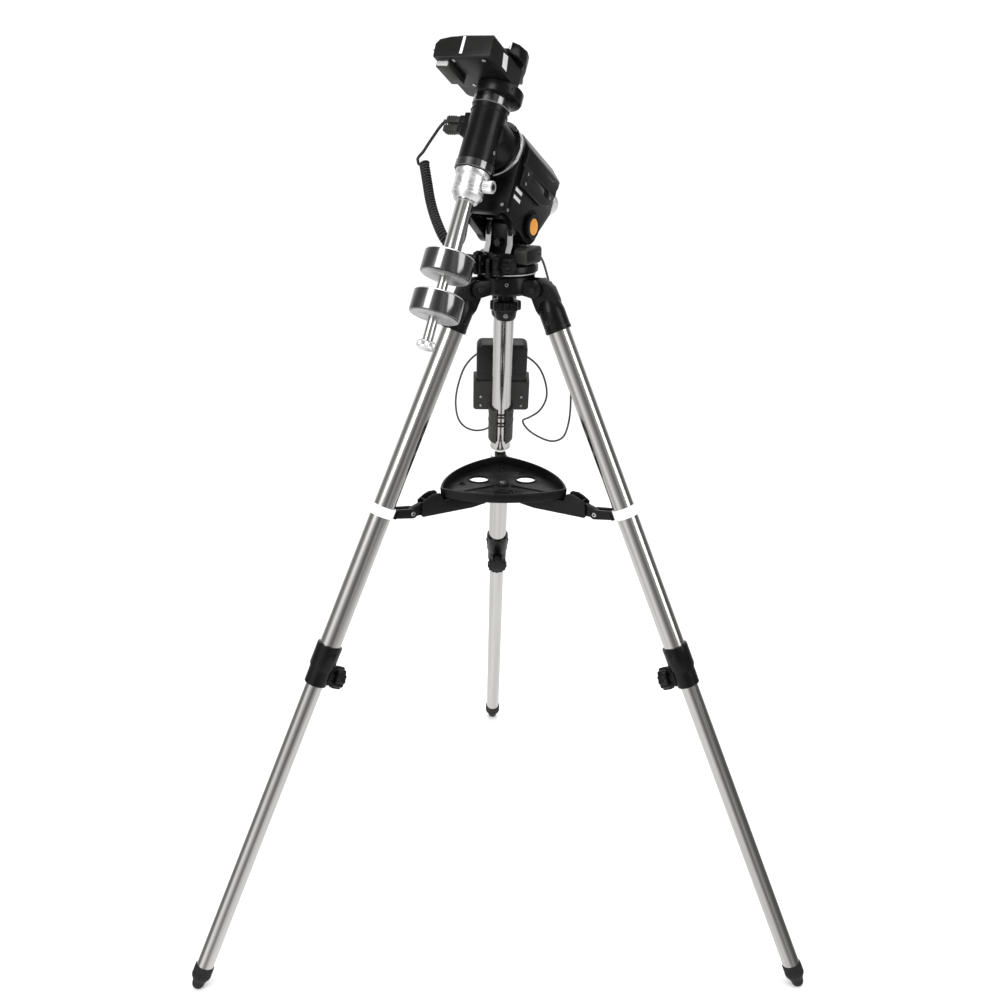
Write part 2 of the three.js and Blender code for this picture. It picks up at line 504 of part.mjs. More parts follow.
const { x: boxX, y: boxY, z: boxZ } = MOTOR_BOX;
const boxOutline = new THREE.Shape();
boxOutline.absarc(boxX[1] - 6, -boxZ[1] + 6, 6, -Math.PI / 2, 0, false);
boxOutline.lineTo(boxX[1], 5);
boxOutline.lineTo(boxX[1] - 20, -boxZ[0]);
boxOutline.absarc(boxX[0] + 16, -boxZ[0] - 16, 16, Math.PI / 2, Math.PI, false);
boxOutline.absarc(boxX[0] + 6, -boxZ[1] + 6, 6, Math.PI, 1.5 * Math.PI, false);
const topSlope = outlineOf([[boxX[0] - 1, boxY[1] - 13], [-62, boxY[1] - 6], [-44, boxY[1] - 2], [-18, boxY[1]],
  [-18, boxY[1] + 1], [boxX[0] - 1, boxY[1] + 1]]);
const motorBody = cut(pulled(boxOutline, boxY[0], boxY[1], "xy").rotateX(-Math.PI / 2),
  pulled(topSlope, boxZ[0] - 1, boxZ[1] + 1));
const motorRoom = box([-50, boxX[1] - 6], [boxY[0] + 4, boxY[1] - 6], [0, boxZ[1] - 8]);
const sideBox = box([-66, -42], [70, 81], [28, 84]);
const motorCover = cut(join(motorBody, sideBox), motorRoom, rod(12.8, 60, 120, "y", [0, 0], 24));
add(axes, "dec_motor_cover", motorCover, blackPlastic());

const decShaft = join(rod(12, COLLAR_TOP + 2, 118, "y", [0, 0], 24), rod(26, 42, 55, "y", [0, 0], 24),
  rod(30, 115 + GAP, 118, "y", [0, 0], 28));
add(axes, "dec_shaft", decShaft, brushedSteel());

// two connectors side by side on the declination barrel
const plugBack = -DEC_RADIUS - HALF_GAP;
const decPlug = cut(
  join(box([plugBack - 8, -20], [-6, 33], [-11, 11]), box([-73, plugBack], [17, 28], [-7, 7]),
    box([-75, plugBack], [2, 13], [-7, 7])),
  rod(DEC_RADIUS + GAP, -60, 60, "y", [0, 0], 32),
  rod(NECK_RADIUS + GAP, -60, GAP, "z", [0, 0], 32),
);
add(axes, "dec_plug", decPlug, blackPlastic());

const collarOutline = [[0, COLLAR_BOTTOM], [20, COLLAR_BOTTOM], [25, COLLAR_BOTTOM + 10], [25, COLLAR_TOP - 8],
  [28, COLLAR_TOP - 4], [28, COLLAR_TOP - GAP], [0, COLLAR_TOP - GAP]];
const collarBody = turned(collarOutline, 32).rotateX(-Math.PI / 2);
const screwSocket = rod(SHAFT_RADIUS + 1, COLLAR_BOTTOM - 1, COLLAR_TOP - 12, "y", [0, 0], 20);
const knobSocket = rod(4 + GAP, 14, 40, "x", [-86, 0], 14);
add(axes, "dec_end_collar", cut(collarBody, screwSocket, knobSocket), aluminium());

const clutchKnob = join(rod(10, 26, 44, "x", [-86, 0], 20), rod(4, 15, 27, "x", [-86, 0], 14));
add(axes, "dec_clutch_knob", clutchKnob, aluminium());

const shaftOutline = [[0, SHAFT_END], [SHAFT_RADIUS, SHAFT_END], [SHAFT_RADIUS, THICK_SHAFT_END],
  [14, THICK_SHAFT_END], [14, COLLAR_BOTTOM - GAP], [SHAFT_RADIUS, COLLAR_BOTTOM - GAP],
  [SHAFT_RADIUS, COLLAR_TOP - 14], [0, COLLAR_TOP - 14]];
add(axes, "counterweight_shaft", turned(shaftOutline, 24).rotateX(-Math.PI / 2), brushedSteel());

for (const [place, centre] of Object.entries(WEIGHT_CENTRES)) {
  const low = centre - WEIGHT_HEIGHT / 2;
  const high = centre + WEIGHT_HEIGHT / 2;
  const edge = 3;
  const outline = [[SHAFT_RADIUS + GAP, low], [WEIGHT_RADIUS - edge, low], [WEIGHT_RADIUS, low + edge],
    [WEIGHT_RADIUS, high - edge], [WEIGHT_RADIUS - edge, high], [SHAFT_RADIUS + GAP, high], [SHAFT_RADIUS + GAP, low]];
  const hole = rod(4 + GAP, -WEIGHT_RADIUS - 4, -4, "z", [0, centre], 14);
  add(axes, `counterweight_${place}`, cut(turned(outline, 40).rotateX(-Math.PI / 2), hole), chrome());
  const grip = pulled(lobed(8, 1.2, 8), -WEIGHT_RADIUS - 20, -WEIGHT_RADIUS - GAP).translate(0, centre, 0);
  const screw = rod(4, -WEIGHT_RADIUS - 2, -SHAFT_RADIUS - 1, "z", [0, centre], 14);
  add(axes, `weight_screw_${place}`, join(grip, screw), blackPlastic());
}

const endCap = [[0, SHAFT_END - 13], [13, SHAFT_END - 13], [15.5, SHAFT_END - 11], [15.5, SHAFT_END - 2],
  [13, SHAFT_END - GAP], [0, SHAFT_END - GAP]];
add(axes, "shaft_end_cap", turned(endCap, 24).rotateX(-Math.PI / 2), aluminium());

// saddle: a dovetail clamp along the polar direction
const SADDLE_BOTTOM = 118 + GAP;
const SADDLE_TOP = 138;
const SEAT = 125;
const JAW_BED = SEAT - 0.5; // the jaw slides a little below the seat, so that the seat stays clear
const saddlePlan = outlineOf([[-45, -42], [-14, -58], [9, -58], [16, -44], [31, -23], [42, -4], [46, 11], [41, 30],
  [29, 42], [-29, 46], [-45, 36]]);
const groove = outlineOf([[-24, SADDLE_TOP + 1], [-21, SEAT], [9.5, SEAT], [9.5, JAW_BED], [32, JAW_BED],
  [32, SADDLE_TOP + 1]]);
const SADDLE_KNOB = [130, -2];
const knobBore = rod(4 + GAP, -60, -20, "x", SADDLE_KNOB, 14);
const saddleBody = cut(pulled(saddlePlan, -SADDLE_TOP, -SADDLE_BOTTOM, "xz"), pulled(groove, -70, 80), knobBore);
add(axes, "saddle", saddleBody, blackPaint());

const jawSection = outlineOf([[20, JAW_BED + GAP], [28, JAW_BED + GAP], [28, SADDLE_TOP - 2], [24, SADDLE_TOP - 2]]);
add(axes, "saddle_jaw", pulled(jawSection, -16, 32), aluminium());

const saddleKnob = join(pulled(lobed(14, 2, 7), -62, -45 - GAP, "yz").translate(0, ...SADDLE_KNOB),
  rod(4, -47, -25, "x", SADDLE_KNOB, 14));
add(axes, "saddle_knob", saddleKnob, blackPlastic());

// ---- hand control on the rear leg ---------------------------------------------------------------------------
const rearRadial = frame(mount);
rearRadial.rotation.z = degrees(LEG_ANGLES.rear);
const rearLeg = frame(rearRadial, [HINGE_RADIUS, 0, HINGE_HEIGHT]);
rearLeg.rotation.y = -SPLAY;
const POCKET = { x: [36, 70], y: [-55, 55], z: [-334, -262] };
const CONTROL = { x: [39, 67], y: [-49, 49], z: [-328, -177] };

const pocketBody = box(POCKET.x, POCKET.y, POCKET.z);
const pocketRoom = box([CONTROL.x[0] - 0.6, CONTROL.x[1] + 0.6], [CONTROL.y[0] - 0.6, CONTROL.y[1] + 0.6],
  [CONTROL.z[0] - GAP, POCKET.z[1] + 1]);
const pocketWindow = box([60, 80], [-40, 40], [-316, -250]);
const cordHole = rod(7, -340, -320, "z", [53, 0], 16);
const clip = offsetTube(rod(25, -382, -300, "z", [0, 0], 32));
const clipBack = box([TUBE_OFFSET + 21, 37], [-18, 18], [-382, -262]);
const clipRoom = offsetTube(rod(UPPER_TUBE_RADIUS + GAP, -390, -250, "z", [0, 0], 32));
const clipMouth = box([-30, TUBE_OFFSET], [-9, 9], [-390, -290]);
const holder = cut(join(pocketBody, clip, clipBack), pocketRoom, pocketWindow, cordHole, clipRoom, clipMouth);
add(rearLeg, "hand_control_holder", holder, blackPlastic());

const controlFace = new THREE.Shape();
controlFace.absarc(-40, CONTROL.z[0] + 9, 9, Math.PI, 1.5 * Math.PI, false);
controlFace.absarc(40, CONTROL.z[0] + 9, 9, -Math.PI / 2, 0, false);
controlFace.absarc(39, CONTROL.z[1] - 10, 10, 0, Math.PI / 2, false);
controlFace.absarc(-39, CONTROL.z[1] - 10, 10, Math.PI / 2, Math.PI, false);
const keypadRoom = box([65, 70], [-31, 31], [-272, -192]);
add(rearLeg, "hand_control", cut(pulled(controlFace, ...CONTROL.x, "yz"), keypadRoom), blackPlastic());
add(rearLeg, "keypad", box([65 + 1.3, 68.5], [-30.6, 30.6], [-271.6, -192.4]), rubber());

// ---- cords --------------------------------------------------------------------------------------------------
const HAND_CORD = 5;
const handCord = [
  [52.4, -3, 1274.5], [57, 4.5, 1273], [63, 14, 1264], [74, 32, 1232], [88, 50, 1180], [106, 68, 1120], [121, 86, 1060],
  [128, 104, 1000], [127, 118, 945], [118, 130, 912], [100, 145, 899], [76, 166, 900], [52, 190, 910],
  [44, 214, 920], [58, 232, 922], [78, 238, 934], [91, 236, 962], [86, 230, 1000], [70, 228, 1030], [40, 234, 1050],
  [0, 237, 1058], [-40, 234, 1054], [-68, 232, 1030], [-84, 236, 990], [-90, 242, 948], [-84, 247, 912],
  [-70, 256, 893], [-50, 264, 884], [-28, 267, 887], [-10, 265, 902], [-1.5, 260, 920], [0, 255.8, 929.6],
  [0, 251.6, 938.7], [0, 247.7, 947.1],
];
add(mount, "hand_control_cord", cord(handCord, HAND_CORD, 76), rubber());

const DEC_CORD = 5;
const COIL = 18;
const decLead = [[-73.8, 21, 0], [-79.5, 20.5, 0], [-89, 12, -4], [-99.4, 3, -10], [-115.7, -9, -22], [-131, -13, -36],
  [-143, -12, -50], [-146, -12.5, -57], [-144.5, -16, -60], [-141.6, -21.8, -60]];
add(axes, "dec_cord_lead", cord(decLead, DEC_CORD, 24), rubber());
const decCoil = [[-141.2, -22.6, -60], [-138, -29, -60], [-131, -43, -60], [-121, -63, -60], [-109, -87, -60],
  [-95, -110, -60], [-79, -132, -60], [-64, -150, -61], [-54, -160, -66], [-50, -165, -76]];
add(axes, "dec_cord_coil", cord(decCoil, COIL, 24), rubber());
const decTail = [[-49.5, -165.6, -77.3], [-48.6, -167, -82], [-50, -167, -94], [-55, -160, -108], [-58, -146, -116],
  [-60, -130, -118], [-60, -112, -116], [-57, -98, -113], [-52, -92, -112], [-46.4, -92, -112]];
add(axes, "dec_cord_tail", cord(decTail, DEC_CORD, 16), rubber());

// ---- origin at the middle of the footprint, without the cords -----------------------------------------------
mount.updateMatrixWorld(true);
const footprint = new THREE.Box3();
mount.traverse((piece) => {
  if (piece.isMesh && !piece.name.includes("cord")) footprint.expandByObject(piece, true);
});
const middle = footprint.getCenter(new THREE.Vector3());
mount.position.set(-middle.x, -middle.y, -footprint.min.z);

export default mount;
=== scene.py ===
"""The looks of an equatorial telescope mount on its tripod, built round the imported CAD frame.

Shapes are written in millimetres in the frame of the part that they belong to (a leg, a brace arm's plane,
the turned mount head or its two axes) and stored in metres. Each piece's object sits at that frame, so a
material that reads object coordinates sees the part's own directions.
"""
import math

import bmesh
import bpy
from mathutils import Matrix, Vector


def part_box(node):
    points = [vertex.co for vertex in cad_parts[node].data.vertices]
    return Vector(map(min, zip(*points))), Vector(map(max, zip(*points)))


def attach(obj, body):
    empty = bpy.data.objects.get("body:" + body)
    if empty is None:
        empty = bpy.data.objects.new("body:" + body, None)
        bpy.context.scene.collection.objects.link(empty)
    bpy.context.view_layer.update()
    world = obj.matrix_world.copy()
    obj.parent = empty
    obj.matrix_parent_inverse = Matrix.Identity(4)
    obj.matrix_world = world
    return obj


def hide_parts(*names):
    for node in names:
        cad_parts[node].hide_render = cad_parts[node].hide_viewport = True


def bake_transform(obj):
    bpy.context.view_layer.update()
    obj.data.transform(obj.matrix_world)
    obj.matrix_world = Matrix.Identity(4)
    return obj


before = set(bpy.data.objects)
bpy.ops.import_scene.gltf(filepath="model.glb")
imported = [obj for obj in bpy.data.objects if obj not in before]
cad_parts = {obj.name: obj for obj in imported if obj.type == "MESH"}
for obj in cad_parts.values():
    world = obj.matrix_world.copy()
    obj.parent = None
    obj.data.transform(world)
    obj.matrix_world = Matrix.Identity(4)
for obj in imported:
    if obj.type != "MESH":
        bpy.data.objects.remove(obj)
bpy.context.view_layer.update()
MM = 0.001

# ---- where things are ----
knob_low, knob_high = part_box("centre_bolt_knob")
TRIPOD_Y = ((knob_low + knob_high) / 2).y
LEG_ANGLES = {"left": 210, "right": 330, "rear": 90}
SPLAY = math.atan2(636, 1382)
HINGE_RADIUS = 62
HINGE_HEIGHT = 1224
APEX_HEIGHT = 1382
LATITUDE = 29
HEAD_AZIMUTH = -31
TUBE_OFFSET = (APEX_HEIGHT - HINGE_HEIGHT) * math.sin(SPLAY) - HINGE_RADIUS * math.cos(SPLAY)
HINGE_ALONG = HINGE_RADIUS * math.sin(SPLAY) + (APEX_HEIGHT - HINGE_HEIGHT) * math.cos(SPLAY)


def turn(degrees, axis):
    return Matrix.Rotation(math.radians(degrees), 4, axis)


def shift(x, y, z):
    return Matrix.Translation((x, y, z))


def down_leg(height):
    return HINGE_ALONG - (APEX_HEIGHT - height) / math.cos(SPLAY)


TRIPOD = shift(0, TRIPOD_Y, 0)
SPINS = [turn(angle, "Z") for angle in LEG_ANGLES.values()]
RADIAL = {side: TRIPOD @ spin for side, spin in zip(LEG_ANGLES, SPINS)}
HINGE = shift(HINGE_RADIUS * MM, 0, HINGE_HEIGHT * MM) @ Matrix.Rotation(-SPLAY, 4, "Y")
LEG = {side: RADIAL[side] @ HINGE for side in LEG_ANGLES}
HEAD = TRIPOD @ turn(HEAD_AZIMUTH, "Z")
AXES = HEAD @ shift(0, -0.08, 1.472) @ turn(90 - LATITUDE, "X")


def placed(name, data):
    """A new object in the scene."""
    thing = bpy.data.objects.new(name, data)
    bpy.context.scene.collection.objects.link(thing)
    return thing


# ---- camera ----
def add_camera():
    data = bpy.data.cameras.new("camera")
    data.sensor_width = 36
    data.lens = 41.18
    data.clip_end = 50
    heading, tilt, roll = -0.0254, -0.3508, 0.015
    look = Matrix.Rotation(heading, 4, "Z") @ Matrix.Rotation(math.pi / 2 + tilt, 4, "X")
    camera = placed("camera", data)
    camera.matrix_world = TRIPOD @ shift(-0.0547, -1.975, 1.5528) @ look @ Matrix.Rotation(roll, 4, "Z")
    bpy.context.scene.camera = camera


add_camera()
bpy.context.scene.view_settings.view_transform = "Standard"


# ---- materials ----
def set_inputs(node, **inputs):
    """Sets a node's inputs by name, with an underscore for a space."""
    for name, value in inputs.items():
        node.inputs[name.replace("_", " ")].default_value = value
    return node


def add_node(tree, kind, **inputs):
    return set_inputs(tree.nodes.new("ShaderNode" + kind), **inputs)


def colour_ramp(tree, value, stops):
    """The colours that a value picks from (position, colour) stops."""
    ramp = add_node(tree, "ValToRGB")
    elements = ramp.color_ramp.elements
    while len(elements) < len(stops):
        elements.new(0.5)
    for element, (position, colour) in zip(elements, stops):
        element.position = position
        element.color = (*colour, 1)
    tree.links.new(value, ramp.inputs["Fac"])
    return ramp.outputs["Color"]


class Nodes:
    """A material's node tree, with short calls for what the finishes below share."""

    def __init__(self, name, roughness, metallic=0.0, specular=0.5):
        self.material = bpy.data.materials.new(name)
        self.material.use_nodes = True
        self.tree = self.material.node_tree
        self.shader = set_inputs(self.tree.nodes["Principled BSDF"], Roughness=roughness, Metallic=metallic,
                                 Specular_IOR_Level=specular)
        self.coordinates = add_node(self.tree, "TexCoord")

    def link(self, start, end):
        self.tree.links.new(start, end)

    def noise(self, scale, detail=3.0, stretch=(1, 1, 1)):
        mapping = add_node(self.tree, "Mapping", Scale=stretch)
        self.link(self.coordinates.outputs["Object"], mapping.inputs["Vector"])
        texture = add_node(self.tree, "TexNoise", Scale=scale, Detail=detail)
        self.link(mapping.outputs["Vector"], texture.inputs["Vector"])
        return texture.outputs["Fac"]

    def colour(self, value, low, high):
        ramp = colour_ramp(self.tree, value, [(0.3, low), (0.7, high)])
        self.link(ramp, self.shader.inputs["Base Color"])

    def roughness(self, value, low, high):
        spread = add_node(self.tree, "MapRange", From_Min=0.3, From_Max=0.7, To_Min=low, To_Max=high)
        self.link(value, spread.inputs["Value"])
        self.link(spread.outputs["Result"], self.shader.inputs["Roughness"])

    def bump(self, height, strength, distance):
        bump = add_node(self.tree, "Bump", Strength=strength, Distance=distance)
        self.link(height, bump.inputs["Height"])
        self.link(bump.outputs["Normal"], self.shader.inputs["Normal"])


def grained(name, dark, light, roughness, grain, strength, specular=0.5, metallic=0.0):
    """Paint or moulded plastic: cloudy tone, a fine grain in the relief and a gloss that varies a little."""
    nodes = Nodes(name, roughness, metallic, specular)
    nodes.colour(nodes.noise(18), dark, light)
    nodes.roughness(nodes.noise(45, 4), roughness - 0.05, roughness + 0.07)
    nodes.bump(nodes.noise(grain, 2), strength, 0.0004)
    return nodes.material


def metal(name, dark, light, roughness, stretch=(1, 1, 1), scale=90, strength=0.04):
    """Bare or plated metal with fine lines: stretch is small along the lines."""
    nodes = Nodes(name, roughness, 1.0)
    lines = nodes.noise(scale, 4, stretch)
    nodes.colour(lines, dark, light)
    nodes.roughness(nodes.noise(scale * 0.6, 3, stretch), roughness * 0.75, roughness * 1.3)
    nodes.bump(lines, strength, 0.0002)
    return nodes.material


def grey(value, warmth=0.0):
    return (value * (1 + warmth), value, value * (1 - warmth))


CASTING = grained("black_casting", grey(0.0025), grey(0.005), 0.26, 1400, 0.1, specular=0.2)
PLASTIC = grained("black_plastic", grey(0.003), grey(0.006), 0.34, 2200, 0.08, specular=0.22)
CHARCOAL = grained("charcoal_cover", grey(0.005, 0.05), grey(0.008, 0.05), 0.3, 2600, 0.08, specular=0.26)
DARK_GREY = grained("dark_grey_plastic", grey(0.018, 0.04), grey(0.027, 0.04), 0.45, 2200, 0.1, specular=0.3)
LIGHT_GREY = grained("light_grey_paint", grey(0.42), grey(0.5), 0.42, 1500, 0.06)
WHITE = grained("white_inlay", grey(0.72), grey(0.8), 0.4, 1200, 0.04)
RUBBER = grained("rubber", grey(0.009), grey(0.015), 0.6, 900, 0.16, specular=0.25)
CORD = grained("cord_sheath", grey(0.01), grey(0.016), 0.42, 1600, 0.06, specular=0.35)
GREY_CORD = grained("grey_cord_sheath", grey(0.035), grey(0.05), 0.45, 1600, 0.06)
ORANGE = grained("orange_cap", (0.62, 0.25, 0.035), (0.78, 0.36, 0.06), 0.3, 1200, 0.06, metallic=0.25)
SCREEN = grained("dark_window", grey(0.008), grey(0.01), 0.12, 900, 0.01)
STAINLESS = metal("stainless_tube", grey(0.5, 0.02), grey(0.66, 0.015), 0.17, (1, 1, 0.02))
# Chrome for the weights' sides, its colour darkened well below real chrome: painted dark reflections.
DARK_REFLECTION_CHROME = metal("chrome_side_painted_dark_reflection", grey(0.17), grey(0.23), 0.16, (1, 0.05, 1), 60, 0.01)
TURNED_FACE = metal("turned_face", grey(0.52), grey(0.62), 0.45, scale=140)
SHAFT_STEEL = metal("shaft_steel", grey(0.56, 0.01), grey(0.68, 0.01), 0.16, (1, 0.03, 1))
SILVER = metal("satin_aluminium", grey(0.86), grey(0.92), 0.36, scale=160, strength=0.006)
BAND = grained("white_band", grey(0.82), grey(0.9), 0.34, 1200, 0.03)
SCREW = metal("screw_steel", grey(0.5), grey(0.62), 0.26, scale=300, strength=0.015)
BLACK_STEEL = metal("blackened_steel", grey(0.03), grey(0.05), 0.3, scale=300, strength=0.015)
GLOSS = metal("black_chrome_ring", grey(0.15), grey(0.2), 0.12, scale=200, strength=0.004)

# ---- shapes, in millimetres ----
PLANE_LAY = {
    "xy": Matrix.Identity(4),
    "yz": Matrix(((0, 0, 1, 0), (1, 0, 0, 0), (0, 1, 0, 0), (0, 0, 0, 1))),
    "xz": Matrix(((1, 0, 0, 0), (0, 0, -1, 0), (0, 1, 0, 0), (0, 0, 0, 1))),
}
AXIS_LAY = {"z": Matrix.Identity(4), "x": turn(90, "Y"), "y": turn(-90, "X")}
SIGNS = (-1, 1)


def mesh_of(bm):
    mesh = bpy.data.meshes.new("shape")
    bm.to_mesh(mesh)
    bm.free()
    return mesh


def moved(shape, matrix):
    shape.transform(matrix)
    return shape


def evaluated(thing, *spare):
    """The mesh that an object comes to; it and the spare objects go."""
    graph = bpy.context.evaluated_depsgraph_get()
    graph.update()
    shape = bpy.data.meshes.new_from_object(thing.evaluated_get(graph), depsgraph=graph)
    for used in (thing, *spare):
        bpy.data.objects.remove(used)
    return shape


def around(radius, count, start=0.0):
    """Points evenly round a circle."""
    angles = [start + 2 * math.pi * k / count for k in range(count)]
    return [(radius * math.cos(a), radius * math.sin(a)) for a in angles]


def lathe(outline, axis="z", at=(0, 0, 0), segments=64):
    """A body of revolution about an axis through a point, from (radius, distance along the axis) points."""
    bm = bmesh.new()
    rings = [[bm.verts.new((x, y, along)) for x, y in around(radius, segments if radius > 1e-6 else 1)]
             for radius, along in outline]
    for low, high in zip(rings, rings[1:]):
        for k in range(segments if len(low) + len(high) > 2 else 0):
            following = (k + 1) % segments
            corners = [low[k % len(low)], low[following % len(low)],
                       high[following % len(high)], high[k % len(high)]]
            bm.faces.new(list(dict.fromkeys(corners)))
    bmesh.ops.recalc_face_normals(bm, faces=bm.faces)
    return moved(mesh_of(bm), shift(*at) @ AXIS_LAY[axis])


def disc(radius, low, high, axis="z", at=(0, 0, 0), edge=1.0, segments=48):
    low, high = sorted((low, high))
    rim = [(radius - edge, low), (radius, low + edge), (radius, high - edge), (radius - edge, high)]
    return lathe([(0, low), *rim, (0, high)], axis, at, segments)


def ring(inner, outer, low, high, axis="z", at=(0, 0, 0), edge=0.8, segments=64):
    rim = [(outer - edge, low), (outer, low + edge), (outer, high - edge), (outer - edge, high)]
    return lathe([(inner, low), *rim, (inner, high), (inner, low)], axis, at, segments)


def block(x, y, z, bevel=1.0):
    """A box between two values on each axis, in either order, its edges rounded."""
    bm = bmesh.new()
    bmesh.ops.create_cube(bm, size=1)
    spans = [sorted(span) for span in (x, y, z)]
    middle = [(low + high) / 2 for low, high in spans]
    size = [high - low for low, high in spans]
    bmesh.ops.transform(bm, matrix=shift(*middle) @ Matrix.Diagonal((*size, 1)), verts=bm.verts)
    if bevel:
        bmesh.ops.bevel(bm, geom=bm.edges, offset=bevel, segments=2, profile=0.5, affect="EDGES")
    return mesh_of(bm)


def prism(outline, low, high, plane="xy", bevel=0.8, holes=()):
    """A flat outline, with holes, pulled from low to high across its plane, its long edges rounded."""
    curve = bpy.data.curves.new("outline", "CURVE")
    curve.dimensions = "2D"
    curve.fill_mode = "BOTH"
    curve.extrude = abs(high - low) / 2 - bevel
    curve.bevel_depth = bevel
    curve.offset = -bevel
    curve.bevel_resolution = 2
    for points in (outline, *holes):
        spline = curve.splines.new("POLY")
        spline.points.add(len(points) - 1)
        spline.use_cyclic_u = True
        for point, (u, v) in zip(spline.points, points):
            point.co = (u, v, 0, 1)
    shape = evaluated(placed("outline", curve))
    bpy.data.curves.remove(curve)
    return moved(shape, PLANE_LAY[plane] @ shift(0, 0, (low + high) / 2))


def arc(u, v, radius, start, end, steps=12):
    angles = [math.radians(start + (end - start) * k / steps) for k in range(steps + 1)]
    return [(u + radius * math.cos(a), v + radius * math.sin(a)) for a in angles]


def circle(u, v, radius, steps=32):
    return arc(u, v, radius, 0, 360 - 360 / steps, steps - 1)


def rounded(u, v, radius, steps=6):
    """A rectangle with round corners: one radius, or four from the low-u, low-v corner anticlockwise."""
    radii = [radius] * 4 if isinstance(radius, (int, float)) else radius
    centres = [(u[0], v[0], 1, 1, 180), (u[1], v[0], -1, 1, 270), (u[1], v[1], -1, -1, 0),
               (u[0], v[1], 1, -1, 90)]
    points = []
    for r, (cu, cv, su, sv, start) in zip(radii, centres):
        points += arc(cu + su * r, cv + sv * r, r, start, start + 90, steps)
    return points


def lobes(radius, depth, count, steps=10):
    angles = [2 * math.pi * k / (count * steps) for k in range(count * steps)]
    reach = [radius - depth / 2 * (1 - math.cos(count * a)) for a in angles]
    return [(r * math.cos(a), r * math.sin(a)) for r, a in zip(reach, angles)]


def carved(shape, *cutters):
    """The shape without its cutters."""
    host = placed("host", shape)
    tools = [placed("cutter", cutter) for cutter in cutters]
    for tool in tools:
        modifier = host.modifiers.new("cut", "BOOLEAN")
        modifier.operation = "DIFFERENCE"
        modifier.solver = "EXACT"
        modifier.object = tool
    return evaluated(host, *tools)


def sliced(shape, point, normal):
    """The shape without what lies beyond a plane, closed there."""
    bm = bmesh.new()
    bm.from_mesh(shape)
    everything = bm.verts[:] + bm.edges[:] + bm.faces[:]
    made = bmesh.ops.bisect_plane(bm, geom=everything, plane_co=point, plane_no=normal, clear_outer=True)
    edges = [e for e in made["geom_cut"] if isinstance(e, bmesh.types.BMEdge)]
    bmesh.ops.edgenet_fill(bm, edges=edges)
    bmesh.ops.recalc_face_normals(bm, faces=bm.faces)
    return mesh_of(bm)


def screw(radius, low, high, axis, at=(0, 0, 0)):
    """A round screw head with a hexagonal socket in its face, which points to high."""
    sign = 1 if high > low else -1
    bottom, above = high - sign * 1.4, high + sign * 0.5
    socket = lathe([(0, bottom), (radius * 0.5, bottom), (radius * 0.5, above), (0, above)], axis, at, 6)
    return carved(disc(radius, low, high, axis, at, min(0.7, radius / 5), 24), socket)


def tube(points, radius, sides=10):
    """A round tube along points, closed at both ends."""
    bm = bmesh.new()
    line = [Vector(p) for p in points]
    side = None
    rings = []
    for k, point in enumerate(line):
        ahead = (line[min(k + 1, len(line) - 1)] - line[max(k - 1, 0)]).normalized()
        if side is None:
            side = ahead.orthogonal()
        side = (side - ahead * side.dot(ahead)).normalized()
        other = ahead.cross(side)
        rings.append([bm.verts.new(point + u * side + v * other) for u, v in around(radius, sides)])
    for low, high in zip(rings, rings[1:]):
        for n in range(sides):
            bm.faces.new((low[n], low[(n + 1) % sides], high[(n + 1) % sides], high[n]))
    bm.faces.new(rings[0][::-1])
    bm.faces.new(rings[-1])
    return mesh_of(bm)


def smooth_route(points, per_span):
    """Points along the centripetal curve through the given points."""
    line = [Vector(p) for p in points]
    line = [2 * line[0] - line[1], *line, 2 * line[-1] - line[-2]]
    route = []
    for k in range(1, len(line) - 2):
        p = line[k - 1:k + 3]
        t = [0.0]
        for a, b in zip(p, p[1:]):
            t.append(t[-1] + math.sqrt((b - a).length))

        def between(a, b, low, high, u):
            return a * ((t[high] - u) / (t[high] - t[low])) + b * ((u - t[low]) / (t[high] - t[low]))

        for step in range(per_span):
            u = t[1] + (t[2] - t[1]) * step / per_span
            first = [between(p[i], p[i + 1], i, i + 1, u) for i in range(3)]
            second = [between(first[i], first[i + 1], i, i + 2, u) for i in range(2)]
            route.append(between(*second, 1, 2, u))
    route.append(line[-2])
    return route


# ---- pieces ----
def piece(name, place, body, parts, replaces=(), smooth=32):
    """One object from (material, shape, shape, ...) parts in millimetres, riding on a CAD body."""
    bm = bmesh.new()
    materials = []
    for material, *shapes in parts:
        if material not in materials:
            materials.append(material)
        for shape in shapes:
            count = len(bm.faces)
            bm.from_mesh(shape)
            bm.faces.ensure_lookup_table()
            for face in bm.faces[count:]:
                face.material_index = materials.index(material)
                face.smooth = True
    bmesh.ops.remove_doubles(bm, verts=bm.verts, dist=1e-4)
    bmesh.ops.scale(bm, vec=(MM, MM, MM), verts=bm.verts)
    mesh = mesh_of(bm)
    mesh.name = name
    for material in materials:
        mesh.materials.append(material)
    mesh.set_sharp_from_angle(angle=math.radians(smooth))
    thing = placed(name, mesh)
    thing.matrix_world = place
    if body:
        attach(thing, body)
    if replaces:
        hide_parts(*replaces)
    return thing


# ---- cords ----
def coiled(middle, reach, pitch, per_turn):
    """A coil round a middle line, looser in its first and last turns."""
    distance = [0.0]
    for a, b in zip(middle, middle[1:]):
        distance.append(distance[-1] + (b - a).length)
    steps = round(distance[-1] / pitch) * per_turn + 4
    helix = []
    side = Vector((0, 0, 1))
    for step in range(steps + 1):
        along = distance[-1] * step / steps
        k = min(max(i for i in range(len(distance)) if distance[i] <= along + 1e-9), len(middle) - 2)
        centre = middle[k].lerp(middle[k + 1], (along - distance[k]) / (distance[k + 1] - distance[k]))
        ahead = (middle[min(k + 3, len(middle) - 1)] - middle[max(k - 2, 0)]).normalized()
        side = (side - ahead * side.dot(ahead)).normalized()
        angle = 0.8 + 2 * math.pi * step / per_turn
        loose = max(0, 1 - min(step, steps - step) / per_turn)
        out = math.cos(angle) * side + math.sin(angle) * ahead.cross(side)
        helix.append(centre + reach * (1 + 0.6 * loose ** 2) * out)
    return helix


